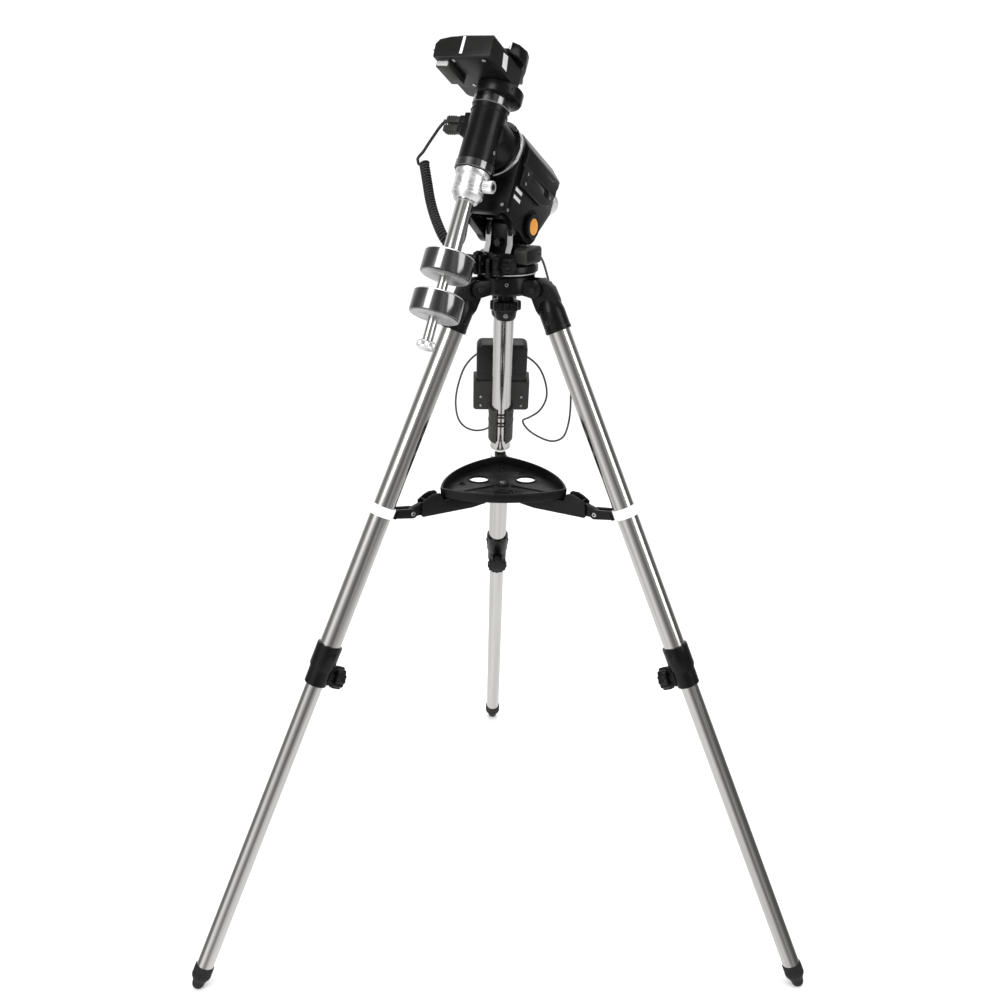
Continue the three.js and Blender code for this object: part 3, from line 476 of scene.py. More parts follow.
def cable_to_declination():
    """The curly cable between the declination motor's connector and the polar housing's socket."""
    radius = 2.5
    lead = [(-73.8, 21, 0), (-80, 19.5, -0.5), (-89, 12, -4), (-99.4, 2.5, -10.5), (-115.7, -9.5, -22.5),
            (-129, -16.5, -34)]
    axis = [(-141.2, -22.6, -60), (-138, -29, -60), (-131, -43, -60), (-121, -63, -60), (-109, -87, -60),
            (-95, -110, -60), (-79, -132, -60), (-64, -150, -61), (-54, -160, -66), (-50, -165, -76)]
    tail = [(-61, -157, -88), (-60.5, -151, -102), (-59.8, -143, -112), (-60, -130, -117.5),
            (-60.5, -116, -117), (-60, -104, -114.5), (-56.5, -95.5, -112.5), (-51.5, -92.4, -112),
            (-46.4, -92, -112)]
    helix = coiled(smooth_route(axis, 24), reach=6.4, pitch=5.15, per_turn=18)
    entry = helix[0] - 8 * (helix[1] - helix[0]).normalized()
    leave = helix[-1] + 6 * (helix[-1] - helix[-2]).normalized()
    before = smooth_route([*lead, entry, helix[0]], 6)[:-1]
    after = smooth_route([helix[-1], leave, *tail], 6)[1:]
    route = [*before, *helix, *after]
    thing = piece("declination_cable", AXES, None, [(CORD, tube(route, radius))],
                  ["dec_cord_lead", "dec_cord_coil", "dec_cord_tail"], 60)
    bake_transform(thing)


def hand_control_cable():
    """The hand control's thin cable: from the electronics box down by the rear leg, then in two loops."""
    radius = 2.0
    points = [(52.4, -3, 1274.5), (57, 4.5, 1273), (63, 14, 1264), (74, 32, 1232), (88, 50, 1180),
              (106, 68, 1120), (121, 86, 1060), (128, 104, 1000), (127, 118, 945), (118, 130, 912),
              (100, 145, 899), (76, 166, 900), (52, 190, 910), (44, 214, 920), (58, 232, 922), (78, 238, 934),
              (91, 236, 962), (86, 230, 1000), (70, 228, 1030), (40, 234, 1050), (0, 237, 1058),
              (-40, 234, 1054), (-68, 232, 1030), (-84, 236, 990), (-90, 242, 948), (-84, 247, 912),
              (-70, 256, 893), (-50, 264, 884), (-28, 267, 887), (-10, 265, 902), (-1.5, 260, 920),
              (0, 255.8, 929.6), (0, 251.6, 938.7), (0, 247.7, 947.1)]
    route = smooth_route(points, 8)
    thing = piece("hand_control_cable", TRIPOD, None, [(GREY_CORD, tube(route, radius))],
                  ["hand_control_cord"], 60)
    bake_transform(thing)


cable_to_declination()
hand_control_cable()

# ---- tripod ----
HEAD_BOTTOM = 1212
HEAD_TOP = 1244
BOOT_TIP = 11
BOOT_CENTRE = down_leg(BOOT_TIP - 1.5)
LOCK_TOP = down_leg(623)
LOCK_STEP = LOCK_TOP - 42
KNOB_ALONG = LOCK_STEP - 16
BAND_ALONG = down_leg(854)
ARM_PIVOT = (189, 841)
TRAY_FLOOR = 858
TRAY_RIM = 875
ON_TUBE = (TUBE_OFFSET, 0, 0)


def tripod_head():
    plate = lathe([(0, HEAD_BOTTOM), (45.5, HEAD_BOTTOM), (47.5, HEAD_BOTTOM + 1), (50, HEAD_BOTTOM + 4),
                   (50, HEAD_TOP - 3), (49.4, HEAD_TOP - 1.2), (48, HEAD_TOP), (0, HEAD_TOP)], segments=96)
    slot = (33, 60), (-13.3, 13.3), (HEAD_BOTTOM - 5, HEAD_TOP + 5)
    parts = [(CASTING, carved(plate, *[moved(block(*slot, 0), spin) for spin in SPINS])),
             (SCREW, moved(screw(3.4, 49.4, 51, "x", (0, 0, 1232)), turn(-90, "Z")))]
    ear = [*arc(HINGE_RADIUS, HINGE_HEIGHT, 15, -90, 90, 16), (36, HEAD_TOP - 5), (36, HEAD_BOTTOM + 2)]
    at = (HINGE_RADIUS, 0, HINGE_HEIGHT)
    for spin in SPINS:
        ears = [prism(ear, sign * 13.4, sign * 22, "xz", 1.6) for sign in SIGNS]
        bolt = [disc(6.5, 21.5, 24, "y", at, 0.6, 6), disc(6.5, -24, -21.5, "y", at, 0.6, 6),
                disc(4.8, -21, 21, "y", at, 0.4, 24)]
        parts += [(CASTING, *[moved(shape, spin) for shape in ears]),
                  (BLACK_STEEL, *[moved(shape, spin) for shape in bolt])]
    piece("tripod_head_casting", TRIPOD, "tripod_head", parts, ["tripod_head"])
    plate = [(0, 1244.3), (50, 1244.3), (51, 1245), (51, 1247.6), (50, 1249.3), (0, 1249.3)]
    parts = [(CASTING, lathe(plate, segments=96)),
             # The light grey band round the black plate's edge is a painted highlight.
             (LIGHT_GREY, ring(49.6, 51.3, 1246.6, 1248.4, edge=0.3, segments=96)),
             (CASTING, block((-5, 5), (-65, -40), (1244.4, 1249.2), 0.8),
              block((-4, 4), (-64, -52), (1244.6, 1275)))]
    piece("azimuth_plate", HEAD, "tripod_head", parts, ["azimuth_base"])


def centre_knob():
    top = HEAD_BOTTOM - 14
    crown = lathe([(0, -36), (9, -36), (15, -34), (18, -30), (20, -16), (0, -16)], at=(0, 0, top))
    parts = [(PLASTIC, prism(lobes(27, 3.6, 8), top - 17, top, "xy", 3), crown),
             (CASTING, disc(15, top - 1, HEAD_BOTTOM - 0.4, edge=1.2)),
             (SCREW, disc(6.4, top, HEAD_TOP + 18, segments=24),
              disc(4.2, -19.4, -17.2, "y", (0, 0, top - 24), 0.6, 20))]
    piece("clamp_knob", TRIPOD, "centre_knob", parts, ["centre_bolt_knob"])


def leg_socket(side):
    ear = [*arc(0, 0, 14, 90, 200, 14), (-13, -34), (-10, -44), (TUBE_OFFSET + 16, -44),
           (TUBE_OFFSET + 19, -30), (TUBE_OFFSET + 18, -8), (15, 13)]
    sleeve = lathe([(19.4, -80), (21.6, -80), (22.3, -79.2), (22.3, -46), (20.5, -34), (15, -24), (0, -24)],
                   at=ON_TUBE)
    cheek = rounded((-8, TUBE_OFFSET + 13), (-40, 4), 4)
    parts = [(CASTING, sleeve, prism(ear, -13, 13, "xz", 2.4), ring(19.4, 22.9, -79.5, -73, at=ON_TUBE))]
    at = (TUBE_OFFSET, 0, -60)
    for sign in SIGNS:
        parts += [(CASTING, disc(7.5, sign * 17, sign * 22.6, "y", at, 1.2, 28)),
                  (BLACK_STEEL, screw(4.2, sign * 22, sign * 24, "y", at)),
                  (CASTING, prism(cheek, sign * 12, sign * 13.2, "xz", 0.5))]
    piece(f"leg_socket_casting_{side}", LEG[side], f"leg_{side}", parts, [f"leg_socket_{side}"])


def leg_tubes(side):
    low = LOCK_STEP + 2
    outer = lathe([(17.4, low), (18.6, low), (19, low + 0.4), (19, -46.4), (18.6, -46), (17.4, -46),
                   (17.4, low)], at=ON_TUBE, segments=96)
    piece(f"upper_leg_tube_{side}", LEG[side], f"leg_{side}", [(STAINLESS, outer)],
          [f"upper_tube_{side}"])
    low, high = BOOT_CENTRE + 20, LOCK_TOP + 60
    inner = lathe([(0, low), (15.5, low), (15.5, high - 0.4), (15.1, high), (13.9, high), (13.9, low + 20),
                   (0, low + 20)], at=ON_TUBE, segments=80)
    centre = Vector((TUBE_OFFSET, 0, BOOT_CENTRE))
    boot = lathe([*arc(0, 0, BOOT_TIP, -90, 0, 10), (12, 5), (13.5, 8), (16.5, 13), (17.5, 16), (17.5, 20),
                  (16.7, 21), (16.7, 23), (17.5, 24), (17.3, 35), (16.6, 36), (15.5, 36)], at=centre)
    level = Matrix.Rotation(SPLAY, 4, "Y") @ Vector((0, 0, -1))
    boot = sliced(boot, centre + level * (BOOT_TIP - 1.5), level)
    piece(f"lower_leg_tube_{side}", LEG[side], f"foot_{side}", [(STAINLESS, inner), (RUBBER, boot)],
          [f"lower_leg_{side}"])


def leg_lock(side):
    body = lathe([(15.9, -76), (19, -76), (20, -75), (20.4, -48), (20.4, -46), (22.8, -40), (22.8, -1),
                  (21.8, 0), (19.4, 0)], at=(TUBE_OFFSET, 0, LOCK_TOP))
    at = (0, 0, KNOB_ALONG)
    boss = disc(11, TUBE_OFFSET - 27, TUBE_OFFSET - 10, "x", at, 1.2, 32)
    seat = rounded((-11, 11), (KNOB_ALONG - 16, LOCK_STEP), 5)
    parts = [(CASTING, body, boss, prism(seat, TUBE_OFFSET - 22.2, TUBE_OFFSET - 12, "yz", 1.4),
              ring(20, 23, LOCK_TOP - 7, LOCK_TOP - 4, at=ON_TUBE))]
    for sign in SIGNS:
        parts += [(CASTING, block((TUBE_OFFSET - 7, TUBE_OFFSET + 7), (sign * 18, sign * 23.2),
                                  (LOCK_TOP - 26, LOCK_TOP - 9), 1.4)),
                  (BLACK_STEEL, screw(3.6, sign * 22.6, sign * 24.4, "y", (TUBE_OFFSET, 0, LOCK_TOP - 17)))]
    piece(f"leg_lock_casting_{side}", LEG[side], f"leg_{side}", parts, [f"leg_lock_{side}"])
    start = TUBE_OFFSET - 27.4
    grip = moved(prism(lobes(21, 2.2, 12, 8), start - 19, start - 1, "yz", 3), shift(*at))
    dome = lathe([(0, -20), (9, -19.8), (14, -18.6), (16, -16), (0, -16)], "x", (start, 0, KNOB_ALONG))
    parts = [(PLASTIC, grip, dome, disc(9, start - 1.5, start, "x", at, 0.4, 32)),
             (SCREW, disc(4, start - 2, TUBE_OFFSET - 16.6, "x", at, 0.4, 20))]
    piece(f"leg_lock_knob_{side}", LEG[side], f"lock_{side}", parts, [f"lock_knob_{side}"])


def leg_band(side):
    out, up = ARM_PIVOT[0] - HINGE_RADIUS, ARM_PIVOT[1] - HINGE_HEIGHT
    x = out * math.cos(SPLAY) + up * math.sin(SPLAY)
    z = up * math.cos(SPLAY) - out * math.sin(SPLAY)
    band = lathe([(19.3, -9), (21.2, -9), (22, -8.2), (22, 8.2), (21.2, 9), (19.3, 9)],
                 at=(TUBE_OFFSET, 0, BAND_ALONG), segments=80)
    cheek = [*arc(x, z, 9, 90, 243, 14), (TUBE_OFFSET - 20, BAND_ALONG - 8),
             (TUBE_OFFSET - 20, BAND_ALONG + 8.5)]
    height = (BAND_ALONG - 8, BAND_ALONG + 8)
    parts = [(BAND, band),
             (PLASTIC, *[prism(cheek, sign * 5.4, sign * 11, "xz", 1.1) for sign in SIGNS],
              block((TUBE_OFFSET - 26.5, TUBE_OFFSET - 19.6), (-11, 11), height, 1.2)),
             (SCREW, disc(3.4, -10.5, 10.5, "y", (x, 0, z), 0.3, 20),
              *[screw(4.2, sign * 10.6, sign * 12.2, "y", (x, 0, z)) for sign in SIGNS]),
             (BAND, block((TUBE_OFFSET + 19, TUBE_OFFSET + 23), (-5, 5), (BAND_ALONG - 6, BAND_ALONG + 6),
                          0.8))]
    piece(f"leg_band_{side}_silver", LEG[side], f"leg_{side}", parts, [f"leg_band_{side}"])


def brace_arm(side):
    end = arc(*ARM_PIVOT, 8, -90, 90, 14)
    outline = [*end, (179, 850), (170, 858), (158, 866), (148, 870), (136, 870), (132.5, 867), (129, 857),
               (126, 855), (46, 851), *arc(46, 842, 8, 96, 270, 14), (70, 831), (170, 831)]
    middle = [p for p in outline if p[0] < 172]
    tongue = prism([*end, (168, 856), (160, 850), (160, 833)], -5, 5, "xz")
    bore = disc(3.8, -8, 8, "y", (ARM_PIVOT[0], 0, ARM_PIVOT[1]), 0, 20)
    parts = [*[prism(middle, sign * 7.6, sign * 11, "xz", 0.9) for sign in SIGNS], carved(tongue, bore),
             block((86, 168), (-8, 8), (831, 834), 0.5)]
    for k in range(6):
        at = 90 + 14.5 * k
        parts.append(block((at, at + 2.2), (-8, 8), (832, 851 if at < 128 else 862), 0.4))
    parts.append(block((161, 171), (-10.8, 10.8), (832, 851)))
    piece(f"brace_arm_ribbed_{side}", RADIAL[side], f"brace_{side}", [(PLASTIC, *parts)],
          [f"brace_arm_{side}"])


def reuleaux(radius, steps=22):
    """A three-cornered outline with bowed sides."""
    points = []
    for corner, (u, v) in zip((210, 330, 90), around(radius, 3, math.radians(210))):
        points += arc(u, v, radius * math.sqrt(3), corner + 150, corner + 210, steps)[:-1]
    return points


def hub_and_tray():
    parts = [(PLASTIC, disc(9, 832, TRAY_FLOOR - 0.4, segments=32))]
    for spin in SPINS:
        parts += [(PLASTIC, moved(block((0, 50), (-4.6, 4.6), (834, TRAY_FLOOR - 0.4), 0.8), spin)),
                  (SCREW, moved(disc(3.2, -5.6, 5.6, "y", (45, 0, 842), 0.3, 20), spin))]
    parts.append((SCREW, disc(5, 829.5, 833, edge=0.6, segments=6)))
    piece("brace_hub_moulding", TRIPOD, "hub", parts, ["brace_hub"])

    large = around(50, 3, math.radians(30))
    small = around(88, 3, math.radians(90)) + around(74, 3, math.radians(60))
    holes = [circle(*p, 18, 40) for p in large] + [circle(*p, 5, 20) for p in small]
    top = TRAY_FLOOR + 2.4
    parts = [prism(reuleaux(126), TRAY_FLOOR, TRAY_FLOOR + 3, "xy", 0.5, holes),
             prism(reuleaux(129), TRAY_FLOOR + 0.2, TRAY_RIM, "xy", 1.2, [reuleaux(124.5)]),
             prism(reuleaux(129.8), TRAY_RIM - 3.2, TRAY_RIM - 0.2, "xy", 0.9, [reuleaux(125.5)]),
             *[ring(18, 20.2, top, top + 2.2, at=(*p, 0), edge=0.6) for p in large],
             *[ring(5, 6.4, top, top + 1.6, at=(*p, 0), edge=0.4, segments=24) for p in small],
             disc(13, TRAY_FLOOR + 2, TRAY_FLOOR + 6, edge=1.5)]
    rib = (18, 118), (-1.2, 1.2), (TRAY_FLOOR + 2, TRAY_FLOOR + 5)
    parts = [(PLASTIC, *parts), (SCREW, screw(5.5, TRAY_FLOOR + 5, TRAY_FLOOR + 8, "z")),
             (PLASTIC, *[moved(block(*rib, 0.5), spin) for spin in SPINS])]
    piece("accessory_tray_moulding", TRIPOD, "tray", parts, ["accessory_tray"])


tripod_head()
centre_knob()
for leg in LEG_ANGLES:
    leg_socket(leg)
    leg_tubes(leg)
    leg_lock(leg)
    leg_band(leg)
    brace_arm(leg)
hub_and_tray()

# ---- mount base ----
DRUM_BOTTOM = 1249.6
DRUM_TOP = 1283
FORK_PIVOT = (-1.2, 1325.4)
KNOB_AT = (0, -58, 1267)


def mount_base():
    drum = lathe([(0, DRUM_BOTTOM), (54, DRUM_BOTTOM), (55, DRUM_BOTTOM + 1), (55, 1260), (54.2, 1261.4),
                  (47.8, 1264), (47, 1265.4), (47, DRUM_TOP - 4), (45.8, DRUM_TOP - 1.6), (43, DRUM_TOP),
                  (0, DRUM_TOP)], segments=96)
    rooms = [disc(20.3, sign * 60, sign * 17, "x", KNOB_AT, 0) for sign in SIGNS]
    gap = block((-11, 11), (-70, -46), (DRUM_BOTTOM - 2, DRUM_TOP + 2), 0)
    parts = [(CASTING, carved(drum, *rooms, gap))]
    for low, high in ((-17, -11), (11, 17)):
        wall = block((low, high), (-67, -36), (DRUM_BOTTOM, 1281), 1.6)
        parts.append((CASTING, carved(wall, disc(5, low - 2, high + 2, "x", KNOB_AT, 0, 24))))
    side = [*arc(*FORK_PIVOT, 24, 0, 180, 24), (-26, 1296), (-33, 1281), (31, 1281), (24, 1296)]
    # Light grey strips down the black cheeks' front edges: painted highlights where those faces catch the
    # light.
    strip = [(-24.8, 1322), (-22.6, 1337), (-21.8, 1337), (-24, 1322), (-25.4, 1296), (-32.4, 1281.6),
             (-33.6, 1282.4), (-26.6, 1296.3)]
    for low, high in ((-26.5, -15.5), (15.5, 26.5)):
        parts += [(CASTING, prism(side, low, high, "yz", 1.8)),
                  (LIGHT_GREY, prism(strip, low + 0.5, high - 0.5, "yz", 0.2))]
    parts += [(CASTING, block((-17, 17), (-22, 20), (1280, 1331), 2.5)),
              (SILVER, *[ring(9.3, 15, low, low + 3, "x", (0, *FORK_PIVOT)) for low in (-29.2, 26.2)])]
    piece("fork_casting", HEAD, "mount_base", parts, ["fork"])


def azimuth_knob(side, sign):
    parts = [(PLASTIC, moved(prism(lobes(20, 1.6, 16, 6), 17.4, 26, "yz", 1.4), shift(*KNOB_AT)),
              moved(prism(lobes(13, 1.5, 18, 6), 25, 46, "yz", 1.6), shift(*KNOB_AT)),
              disc(8, 45.4, 46.4, "x", KNOB_AT, 0.4)),
             (SCREW, disc(4.4, 11.4, 18, "x", KNOB_AT, 0.4, 24))]
    if sign < 0:
        flip = shift(0, 2 * KNOB_AT[1], 0) @ turn(180, "Z")
        parts = [(material, *[moved(shape, flip) for shape in shapes]) for material, *shapes in parts]
    piece(f"azimuth_knob_ribbed_{side}", HEAD, f"azimuth_knob_{side}", parts,
          [f"azimuth_knob_{side}"])


def altitude_screw():
    at = (0, 0, 1299)
    parts = [(BLACK_STEEL, disc(7, -33, -27, "y", at, 0.7, 6), disc(8, -27.4, -26.2, "y", at, 0.4)),
             (SCREW, disc(3.9, -27, -12, "y", at, 0.5, 24))]
    piece("altitude_screw_hex", HEAD, "altitude_screw", parts, ["altitude_bolt"])


def panel_box():
    box = prism(rounded((-34, 24), (1265, 1293), 8), 33, 56, "yz", 2)
    box = carved(box, disc(47.3, 1240, DRUM_TOP + 0.3, edge=0, segments=80),
                 block((41, 52), (16, 34), (1270, 1279), 0))
    parts = [(DARK_GREY, box), (PLASTIC, prism(rounded((-29, 19), (1269, 1289), 5), 55.6, 56.3, "yz", 0.3)),
             (BLACK_STEEL, *[screw(1.8, 56, 56.8, "x", (0, y, 1279)) for y in (-25, 15)]),
             (DARK_GREY, block((42, 51), (16.5, 23), (1270.6, 1278.4), 0.6))]
    piece("electronics_box", HEAD, "mount_base", parts, ["panel_box"])


def latitude_bolt():
    at = (0, -90, -140)
    wall = [(0, 46.4), (19, 46.4), (20, 47.4), (20, 52), (19, 53), (14.4, 53), (14, 52), (0, 52)]
    face = [(0, 51.6), (13.8, 51.6), (14, 52.2), (13.4, 52.8), (11, 53.2), (0, 53.4)]
    parts = [(SCREW, disc(9, -49, 47, "x", at, 0.6, 40)), (PLASTIC, lathe(wall, "x", at)),
             (ORANGE, lathe(face, "x", at)), (SCREW, disc(13, -52.6, -46.4, "x", at, 1, 6))]
    piece("latitude_bolt_capped", AXES, "mount_base", parts, ["latitude_bolt"])


mount_base()
azimuth_knob("east", 1)
azimuth_knob("west", -1)
altitude_screw()
panel_box()
latitude_bolt()

# ---- polar axis ----
FRONT = -50
TUBE_END = -210
NECK_END = -235
PIVOT = (-90, -140)


def polar_housing():
    body = lathe([(16, NECK_END), (17.4, NECK_END), (18, NECK_END + 0.6), (18, TUBE_END), (37, TUBE_END),
                  (39, TUBE_END + 1), (40, TUBE_END + 4), (40, -72), (42, -66), (46, -63), (46, FRONT - 1),
                  (45, FRONT), (16, FRONT)], segments=96)
    plate = prism(rounded((-46, 46), (-106, 10), (4, 4, 12, 12)), -64, FRONT, "xy", 2)
    ear = [(-106, FRONT - 1), (-106, -66), *arc(*PIVOT, 30, 190, 268, 10), (-44, -196), (-20, -196),
           (-20, -64), (10, -64), (10, FRONT - 1)]
    parts = [body, carved(plate, disc(16, -70, -40, edge=0)), ring(36, 40.6, TUBE_END + 3.4, TUBE_END + 6)]
    for low, high in ((-46, -29.5), (29.5, 46)):
        parts += [prism(ear, low, high, "yz", 1.8), disc(29.6, low, high, "x", (0, *PIVOT), 1.8, 64)]
    parts.append(ring(17.5, 21, -46.9, -45.4, "x", (0, *PIVOT), 0.5))
    parts = [(CASTING, *parts),
             (SCREW, *[screw(3.4, -45.5, -47.2, "x", (0, *at)) for at in ((-98, -56), (-30, -184))],
              screw(3, 45.5, 46.8, "x", (0, -98, -56))),
             (LIGHT_GREY, *[block((45.4, 46.3), (y, y + 6), (-86, -62), 0.2) for y in (-61, -74)]),
             (SCREEN, block((45.4, 46.2), (-54.6, -53.4), (-126, -98), 0.1)),
             (SCREW, *[screw(3.6, FRONT - 1, FRONT + 0.2, "z", (x, -92, 0)) for x in (-36, 36)]),
             (PLASTIC, block((-54, -45.5), (-98, -86), (-118, -106)))]
    piece("polar_housing_casting", AXES, "polar_housing", parts, ["ra_housing"])


def motor_cover():
    section = [*arc(46, -13.5, 6, -90, 0, 5), *arc(46, 10, 6, 0, 44, 4), *arc(27, 31.5, 6, 46, 98, 4),
               (18.5, 39.6), (18.5, -19.5)]
    cover = sliced(prism(section, -190, -64.4, "xy", 2.2), (0, 4, -190), (0, -0.494, -0.869))
    pocket = block((48.6, 60), (-31, -17), (-160, -92), 1.5)
    cover = carved(cover, disc(40.4, -260, -40, edge=0, segments=96), pocket)
    flap = [(-17, -66), (-17, -186), (-38, -176), (-50, -146), (-50, -66)]
    screws = [(-25, -80), (-25, -170), (-42, -80)]
    parts = [(CHARCOAL, cover, carved(prism(flap, 46.3, 52, "yz", 1.8), pocket)),
             (SCREEN, block((47.4, 49), (-30.4, -17.6), (-159.4, -92.6), 0.3),
              block((51.4, 52.2), (1.3, 2.7), (-167, -96), 0.1)),
             (SCREW, *[screw(2.6, 51.6, 52.6, "x", (0, *at)) for at in screws])]
    piece("polar_motor_cover", AXES, "polar_housing", parts, ["ra_motor_cover"])


def polar_cap():
    rim = prism(lobes(21.5, 0.9, 36, 4), NECK_END - 24, NECK_END - 8)
    body = lathe([(0, -30), (16, -30), (18, -29.2), (20.4, -26.6), (20.9, -24), (20.9, -8), (21.5, -7),
                  (21.5, -1), (21, -0.4), (0, -0.4)], at=(0, 0, NECK_END))
    piece("polar_scope_cap", AXES, "polar_cap", [(SILVER, rim, body)], ["polar_cap"])


def clutch_lever():
    at = (-30, 0, -76)
    lever = prism([*arc(-30, -76, 7, 20, 160, 10), *arc(-30, -108, 4, 180, 360, 10)], -46, -41, "xz", 1.3)
    parts = [(PLASTIC, disc(8, 34.6, 46.2, "y", at, 1, 36), lever), (SCREW, screw(3.4, 45.4, 46.6, "y", at))]
    piece("polar_clutch_lever", AXES, "ra_clutch", parts, ["ra_clutch_lever"])


polar_housing()
motor_cover()
polar_cap()
clutch_lever()


# ---- declination axis ----
def polar_shaft():
    shaft = lathe([(0, NECK_END + 4.2), (15, NECK_END + 4.2), (15.5, NECK_END + 4.8), (15.5, -84), (33, -84),
                   (33, -70), (15.5, -70), (15.5, -30.5), (0, -30)])
    piece("polar_shaft_and_wheel", AXES, "dec_body", [(SCREW, shaft)], ["ra_shaft"])


def declination_housing():
    barrel = lathe([(12.6, -64), (30, -64), (31, -63), (31, -58), (30, -56.5), (29.4, 30), (29, 56),
                    (30.5, 60), (30.5, 62), (12.6, 62)], "y", segments=80)
    neck = lathe([(0, -49.4), (45, -49.4), (46.4, -48), (46.4, -44), (44, -42.4), (39, -42), (38, -40),
                  (38, -8), (35, 0), (15, 2), (0, 2)], segments=80)
    turret = lathe([(12.6, 60), (35, 60), (37.4, 61.4), (38.5, 64), (38.5, 77.6), (37, 79.4), (12.6, 79.4)],
                   "y", (7, 0, -3))
    parts = [(CASTING, barrel, sliced(neck, (0, 30, 0), (0, 1, 0)), turret),
             (GLOSS, ring(29, 31.4, -64, -50, "y", edge=1.2), ring(28, 31.2, 44, 59, "y", edge=1.2)),
             (CASTING, ring(29, 30.6, 34, 36, "y")),
             (SILVER, ring(40, 48, -48.9, -43.2, edge=0.7, segments=96))]
    for k in range(72):
        top = -46.2 if k % 6 else -44
        parts.append((SCREEN, moved(block((47.7, 48.15), (-0.22, 0.22), (-48.2, top), 0), turn(5 * k, "Z"))))
    for angle in (35, 145, 215, 325):
        a = math.radians(angle)
        parts.append((SCREW, screw(3, 79, 79.9, "y", (7 + 33 * math.cos(a), 0, -3 + 33 * math.sin(a)))))
    parts += [(PLASTIC, disc(6, 30, 40.5, "x", (0, 70, 12))),
              (SCREW, screw(3.2, 28.8, 30.6, "x", (0, -30, 2)))]
    piece("declination_housing_casting", AXES, "dec_body", parts, ["dec_housing"])


def declination_motor_cover():
    left, right = -68, 36
    back, front = -30, 96
    profile = [(left + 1.6, 80), (right, 80), (right, 111), (right - 3, 115), (-18, 115), (-44, 113),
               (-62, 109), (left, 101)]
    rear_right = [(right + 6, -5), (right, -5), (16, back), (16, back - 6), (right + 6, back - 6)]
    rear_left = [*arc(left + 16, back + 16, 16, 180, 270, 8), (left + 16, back - 6), (left - 6, back - 6),
                 (left - 6, back + 16)]
    shell = carved(prism(profile, back, front, "xy", 2.4), prism(rear_right, -125, -70, "xz", 0),
                   prism(rear_left, -125, -70, "xz", 0), disc(13, 60, 130, "y", edge=0),
                   disc(30.6, 113.4, 130, "y", edge=0, segments=64))
    seam = [(left - 0.2, 90), (right + 0.2, 90), (right + 0.2, 90.6), (left - 0.2, 90.6)]
    stripe = [(-19, 84), (-14, 84), (-14.6, 112.6), (-19.2, 112.8)]
    side_plate = [(86, 40.5), (108, 46.5), (106, 61.5), (86, 55.5)]
    screws = [(-34, 84), (20, 84), (-34, 12), (24, 12)]
    parts = [(CHARCOAL, shell),
             (PLASTIC, prism(seam, 20, front + 0.2, "xy", 0.1),
              prism(rounded((-62, 28), (4, 90), 5), -80.2, -79.2, "xz", 0.3)),
             (DARK_GREY, block((-66, -42), (70, 80.6), (28, 82), 1.6)),
             (LIGHT_GREY, block((-63.5, -44), (71.5, 79), (81.2, 84), 0.8)),
             (SCREW, *[screw(3.4, 79.4, 78.2, "y", (x, 0, z)) for x, z in screws]),
             (WHITE, prism(stripe, front - 0.2, front + 0.6, "xy", 0.2)),
             (LIGHT_GREY, prism(side_plate, right - 0.2, right + 0.5, "yz", 0.2))]
    piece("declination_motor_box", AXES, "dec_body", parts, ["dec_motor_cover"])


def saddle():
    parts = [(SCREW, disc(12, -61.6, 118, "y", edge=0.8), disc(26, 42, 55, "y", edge=0.6)),
             (SILVER, ring(11, 30, 115.4, 118, "y"))]
    piece("declination_shaft_flange", AXES, "saddle_plate", parts, ["dec_shaft"])
    plan = [(-45, -42), (-14, -58), (9, -58), (16, -44), (31, -23), (42, -4), (46, 11), (41, 30), (29, 42),
            (-29, 46), (-45, 36)]
    groove = [(-24, 139), (-21, 125), (9.5, 125), (9.5, 124.5), (32, 124.5), (32, 139)]
    at = (0, 130, -2)
    bored = carved(prism(plan, -138, -118.4, "xz", 2), prism(groove, -70, 80, "xy", 0),
                   disc(4.3, -60, -20, "x", at, 0, 24))
    screws = [(-34, -18), (-34, 14), (38, 4)]
    parts = [(CASTING, bored), (SCREW, *[screw(2.8, 137.4, 138.5, "y", (x, 0, z)) for x, z in screws])]
    piece("saddle_casting", AXES, "saddle_plate", parts, ["saddle"])
    jaw = prism([(20, 124.9), (28, 124.9), (28, 136), (24, 136)], -16, 32, "xy", 0.5)
    piece("saddle_jaw_bar", AXES, "jaw", [(SILVER, jaw)], ["saddle_jaw"])
    grip = moved(prism(lobes(14, 1.6, 9), -61.5, -46, "yz", 2.2), shift(*at))
    parts = [(PLASTIC, grip, disc(8, -47, -45.4, "x", at, 0.4)),
             (SCREW, disc(3.9, -47, -25, "x", at, 0.4, 24))]
    piece("saddle_knob_lobed", AXES, "jaw_knob", parts, ["saddle_knob"])


def plugs():
    parts = []
    for low, high, reach in ((17, 28, -73), (2, 13, -75)):
        ribs = [block((x, x + 1.8), (low - 0.5, high + 0.5), (-7.5, 7.5), 0.3)
                for x in range(reach + 4, reach + 20, 4)]
        parts += [(DARK_GREY, block((reach, -36), (low, high), (-7, 7), 1.6)),
                  (PLASTIC, block((-48, -36), (low - 1.4, high + 1.2), (-8, 8), 1.4)), (DARK_GREY, *ribs)]
    base = carved(block((-38, -20), (-6, 33), (-11, 11), 1.5), disc(30.3, -60, 60, "y", edge=0, segments=64),
                  disc(38.3, -60, 0.3, edge=0, segments=64))
    relief = lathe([(0, 0), (3.8, 0), (3.4, 4), (2.7, 6), (0, 6)], "x", (-79.4, 21, 0), 24)
    parts += [(PLASTIC, base), (CORD, relief)]
    piece("declination_connectors", AXES, "dec_body", parts, ["dec_plug"])


